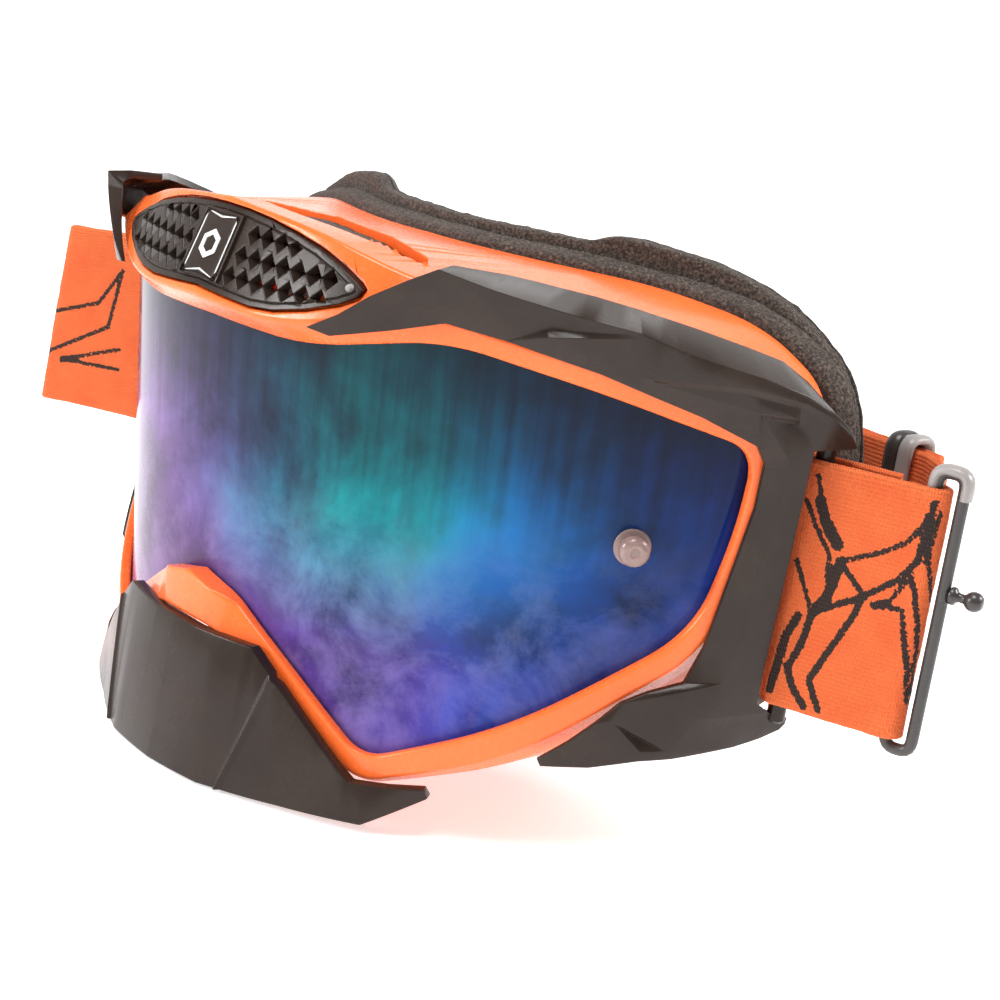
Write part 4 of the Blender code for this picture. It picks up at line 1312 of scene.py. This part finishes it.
def fold_ring():
    middle = (RING_INNER + RING_OUTER) / 2
    along = (RING_OUTER - RING_INNER).normalized()
    width = (RING_OUTER - RING_INNER).length
    top = STRAP_Z + STRAP_HALF + 2.7
    low = STRAP_Z - STRAP_HALF - 1.9
    ring = hoop("fold_ring_wire", middle, along, width, low, top, RING_BAR_R, 1.05, WIRE)
    stands(ring, "ring_body", "satin_dark_plastic", "fold_ring")
    arch = hoop("fold_ring_arch", middle, along, width + 1.0, low, top + 0.5, 1.0, 1.7, GREY, top - 4.0)
    stands(arch, "ring_body", "satin_dark_plastic")


def ball_stud():
    """A short stud with a ball end, beside the outer bar of the fold ring."""
    along = (RING_OUTER - RING_INNER).normalized()
    flat = Vector((-along.y, along.x))
    profile = [(1.5, 1.3), (1.6, 1.7), (1.5, 2.15), (1.0, 2.4), (0.8, 2.9), (0.8, 3.6), (1.0, 4.0)]
    ball_r = 1.75
    ball_at = 5.35
    for turn in range(2, 11):
        angle = math.pi * (1 - turn / 12)
        profile.append((ball_r * math.sin(angle), ball_at + ball_r * math.cos(angle)))
    sides = 32
    bm = bmesh.new()
    rows = []
    for radius, reach in profile:
        ring = []
        for k in range(sides):
            turn = 2 * math.pi * k / sides
            plan = RING_OUTER + along * reach + flat * math.cos(turn) * radius
            ring.append(bm.verts.new(placed(plan.x, plan.y, 3.6 + math.sin(turn) * radius)))
        rows.append(ring)
    skin(bm, rows)
    stands(piece_of("ball_stud_head", bm, WIRE, 70), "ring_body", "satin_dark_plastic", "ball_stud")


def strap_slider():
    """The slider that holds the strap's length: two joined loops round the band and its tail."""
    way = (BAND_MIDDLE - BAND_START).normalized()
    centre = band_side(0.06, TAIL_LIFT / 2)
    deep = TAIL_LIFT + STRAP_T + 2 * GAP + 1.8
    low = STRAP_Z - STRAP_HALF - 2.0
    high = STRAP_Z + STRAP_HALF + 1.6
    across = Vector((-way.y, way.x))
    loops = (("slider_loop_near", -1.55, GREY), ("slider_loop_far", 1.55, WIRE))
    for name, along, material in loops:
        loop = hoop(name, centre + way * along, across, deep, low, high, 0.95, 1.6, material)
        stands(loop, "slider_body", "satin_dark_plastic")
        if along < 0:
            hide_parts("strap_slider")


# ---------------------------------------------------------------- camera, light and floor

CAMERA_AZIMUTH = 45.054
CAMERA_ELEVATION = 14.434
CAMERA_ROLL = 8.500
CAMERA_DISTANCE = 417.6
CAMERA_TARGET = Vector((-9.714, 59.607, -17.448))
CAMERA_LENS = 67.94


def camera():
    azimuth, elevation, roll = (math.radians(v) for v in (CAMERA_AZIMUTH, CAMERA_ELEVATION, CAMERA_ROLL))
    back = Vector((
        math.sin(azimuth) * math.cos(elevation), -math.cos(azimuth) * math.cos(elevation), math.sin(elevation)
    ))
    right = Vector((math.cos(azimuth), math.sin(azimuth), 0))
    up = back.cross(right)
    across = right * math.cos(roll) + up * math.sin(roll)
    upright = up * math.cos(roll) - right * math.sin(roll)
    data = bpy.data.cameras.new("camera")
    data.sensor_width = 36
    data.lens = CAMERA_LENS
    data.clip_start = 0.01
    made = linked("camera", data)
    turn = Matrix((across, upright, back)).transposed().to_4x4()
    turn.translation = placed(*(CAMERA_TARGET + back * CAMERA_DISTANCE))
    made.matrix_world = turn
    bpy.context.scene.camera = made


def area_light(name, place, size, power):
    data = bpy.data.lights.new(name, "AREA")
    data.shape = "DISK"
    data.size = size
    data.energy = power
    made = linked(name, data)
    made.location = place
    made.rotation_mode = "QUATERNION"
    made.rotation_quaternion = (Vector((0, 0, 0.05)) - Vector(place)).to_track_quat("-Z", "Y")


def stage():
    n = Nodes("pale_floor")
    tone = n.noise(14, 3, 0.5)
    n.set(Base_Color=n.mix(tone, (0.88, 0.88, 0.88), (0.92, 0.92, 0.92)), Roughness=0.9,
          Emission_Color=(1.0, 1.0, 1.0), Emission_Strength=0.55)
    bm = bmesh.new()
    rows = []
    for y, z in ((-14, 0), (1.2, 0), (1.7, 0.06), (2.1, 0.25), (2.35, 0.6), (2.45, 1.2), (2.45, 3)):
        rows.append([bm.verts.new((x, y, z)) for x in (-12, 12)])
    for row, following in zip(rows, rows[1:]):
        bm.faces.new((row[0], row[1], following[1], following[0]))
    mesh = bpy.data.meshes.new("floor")
    bm.to_mesh(mesh)
    bm.free()
    mesh.materials.append(n.material)
    mesh.shade_smooth()
    floor = linked("floor", mesh)
    floor.rotation_euler = (0, 0, math.radians(CAMERA_AZIMUTH))
    floor.location = (0, 0, -0.0004)
    world = bpy.data.worlds.new("studio")
    bpy.context.scene.world = world
    world.use_nodes = True
    sky = world.node_tree.nodes["Background"]
    sky.inputs[0].default_value = (1, 1, 1, 1)
    sky.inputs[1].default_value = 0.36
    area_light("key", (0.1, -0.35, 1.1), 0.6, 11)
    area_light("left", (-0.45, -0.95, 0.45), 0.4, 8)
    area_light("rim", (0.75, 0.75, 0.75), 0.5, 13)
    view = bpy.context.scene.view_settings
    view.view_transform = "Standard"
    view.look = "None"


# ---------------------------------------------------------------- the whole scene

face_frame()
lens()
tear_off_posts()
vent_grille()
outriggers()
nose_guard()
face_pad()
filter_foams()
strap()
fold_ring()
ball_stud()
strap_slider()
camera()
stage()
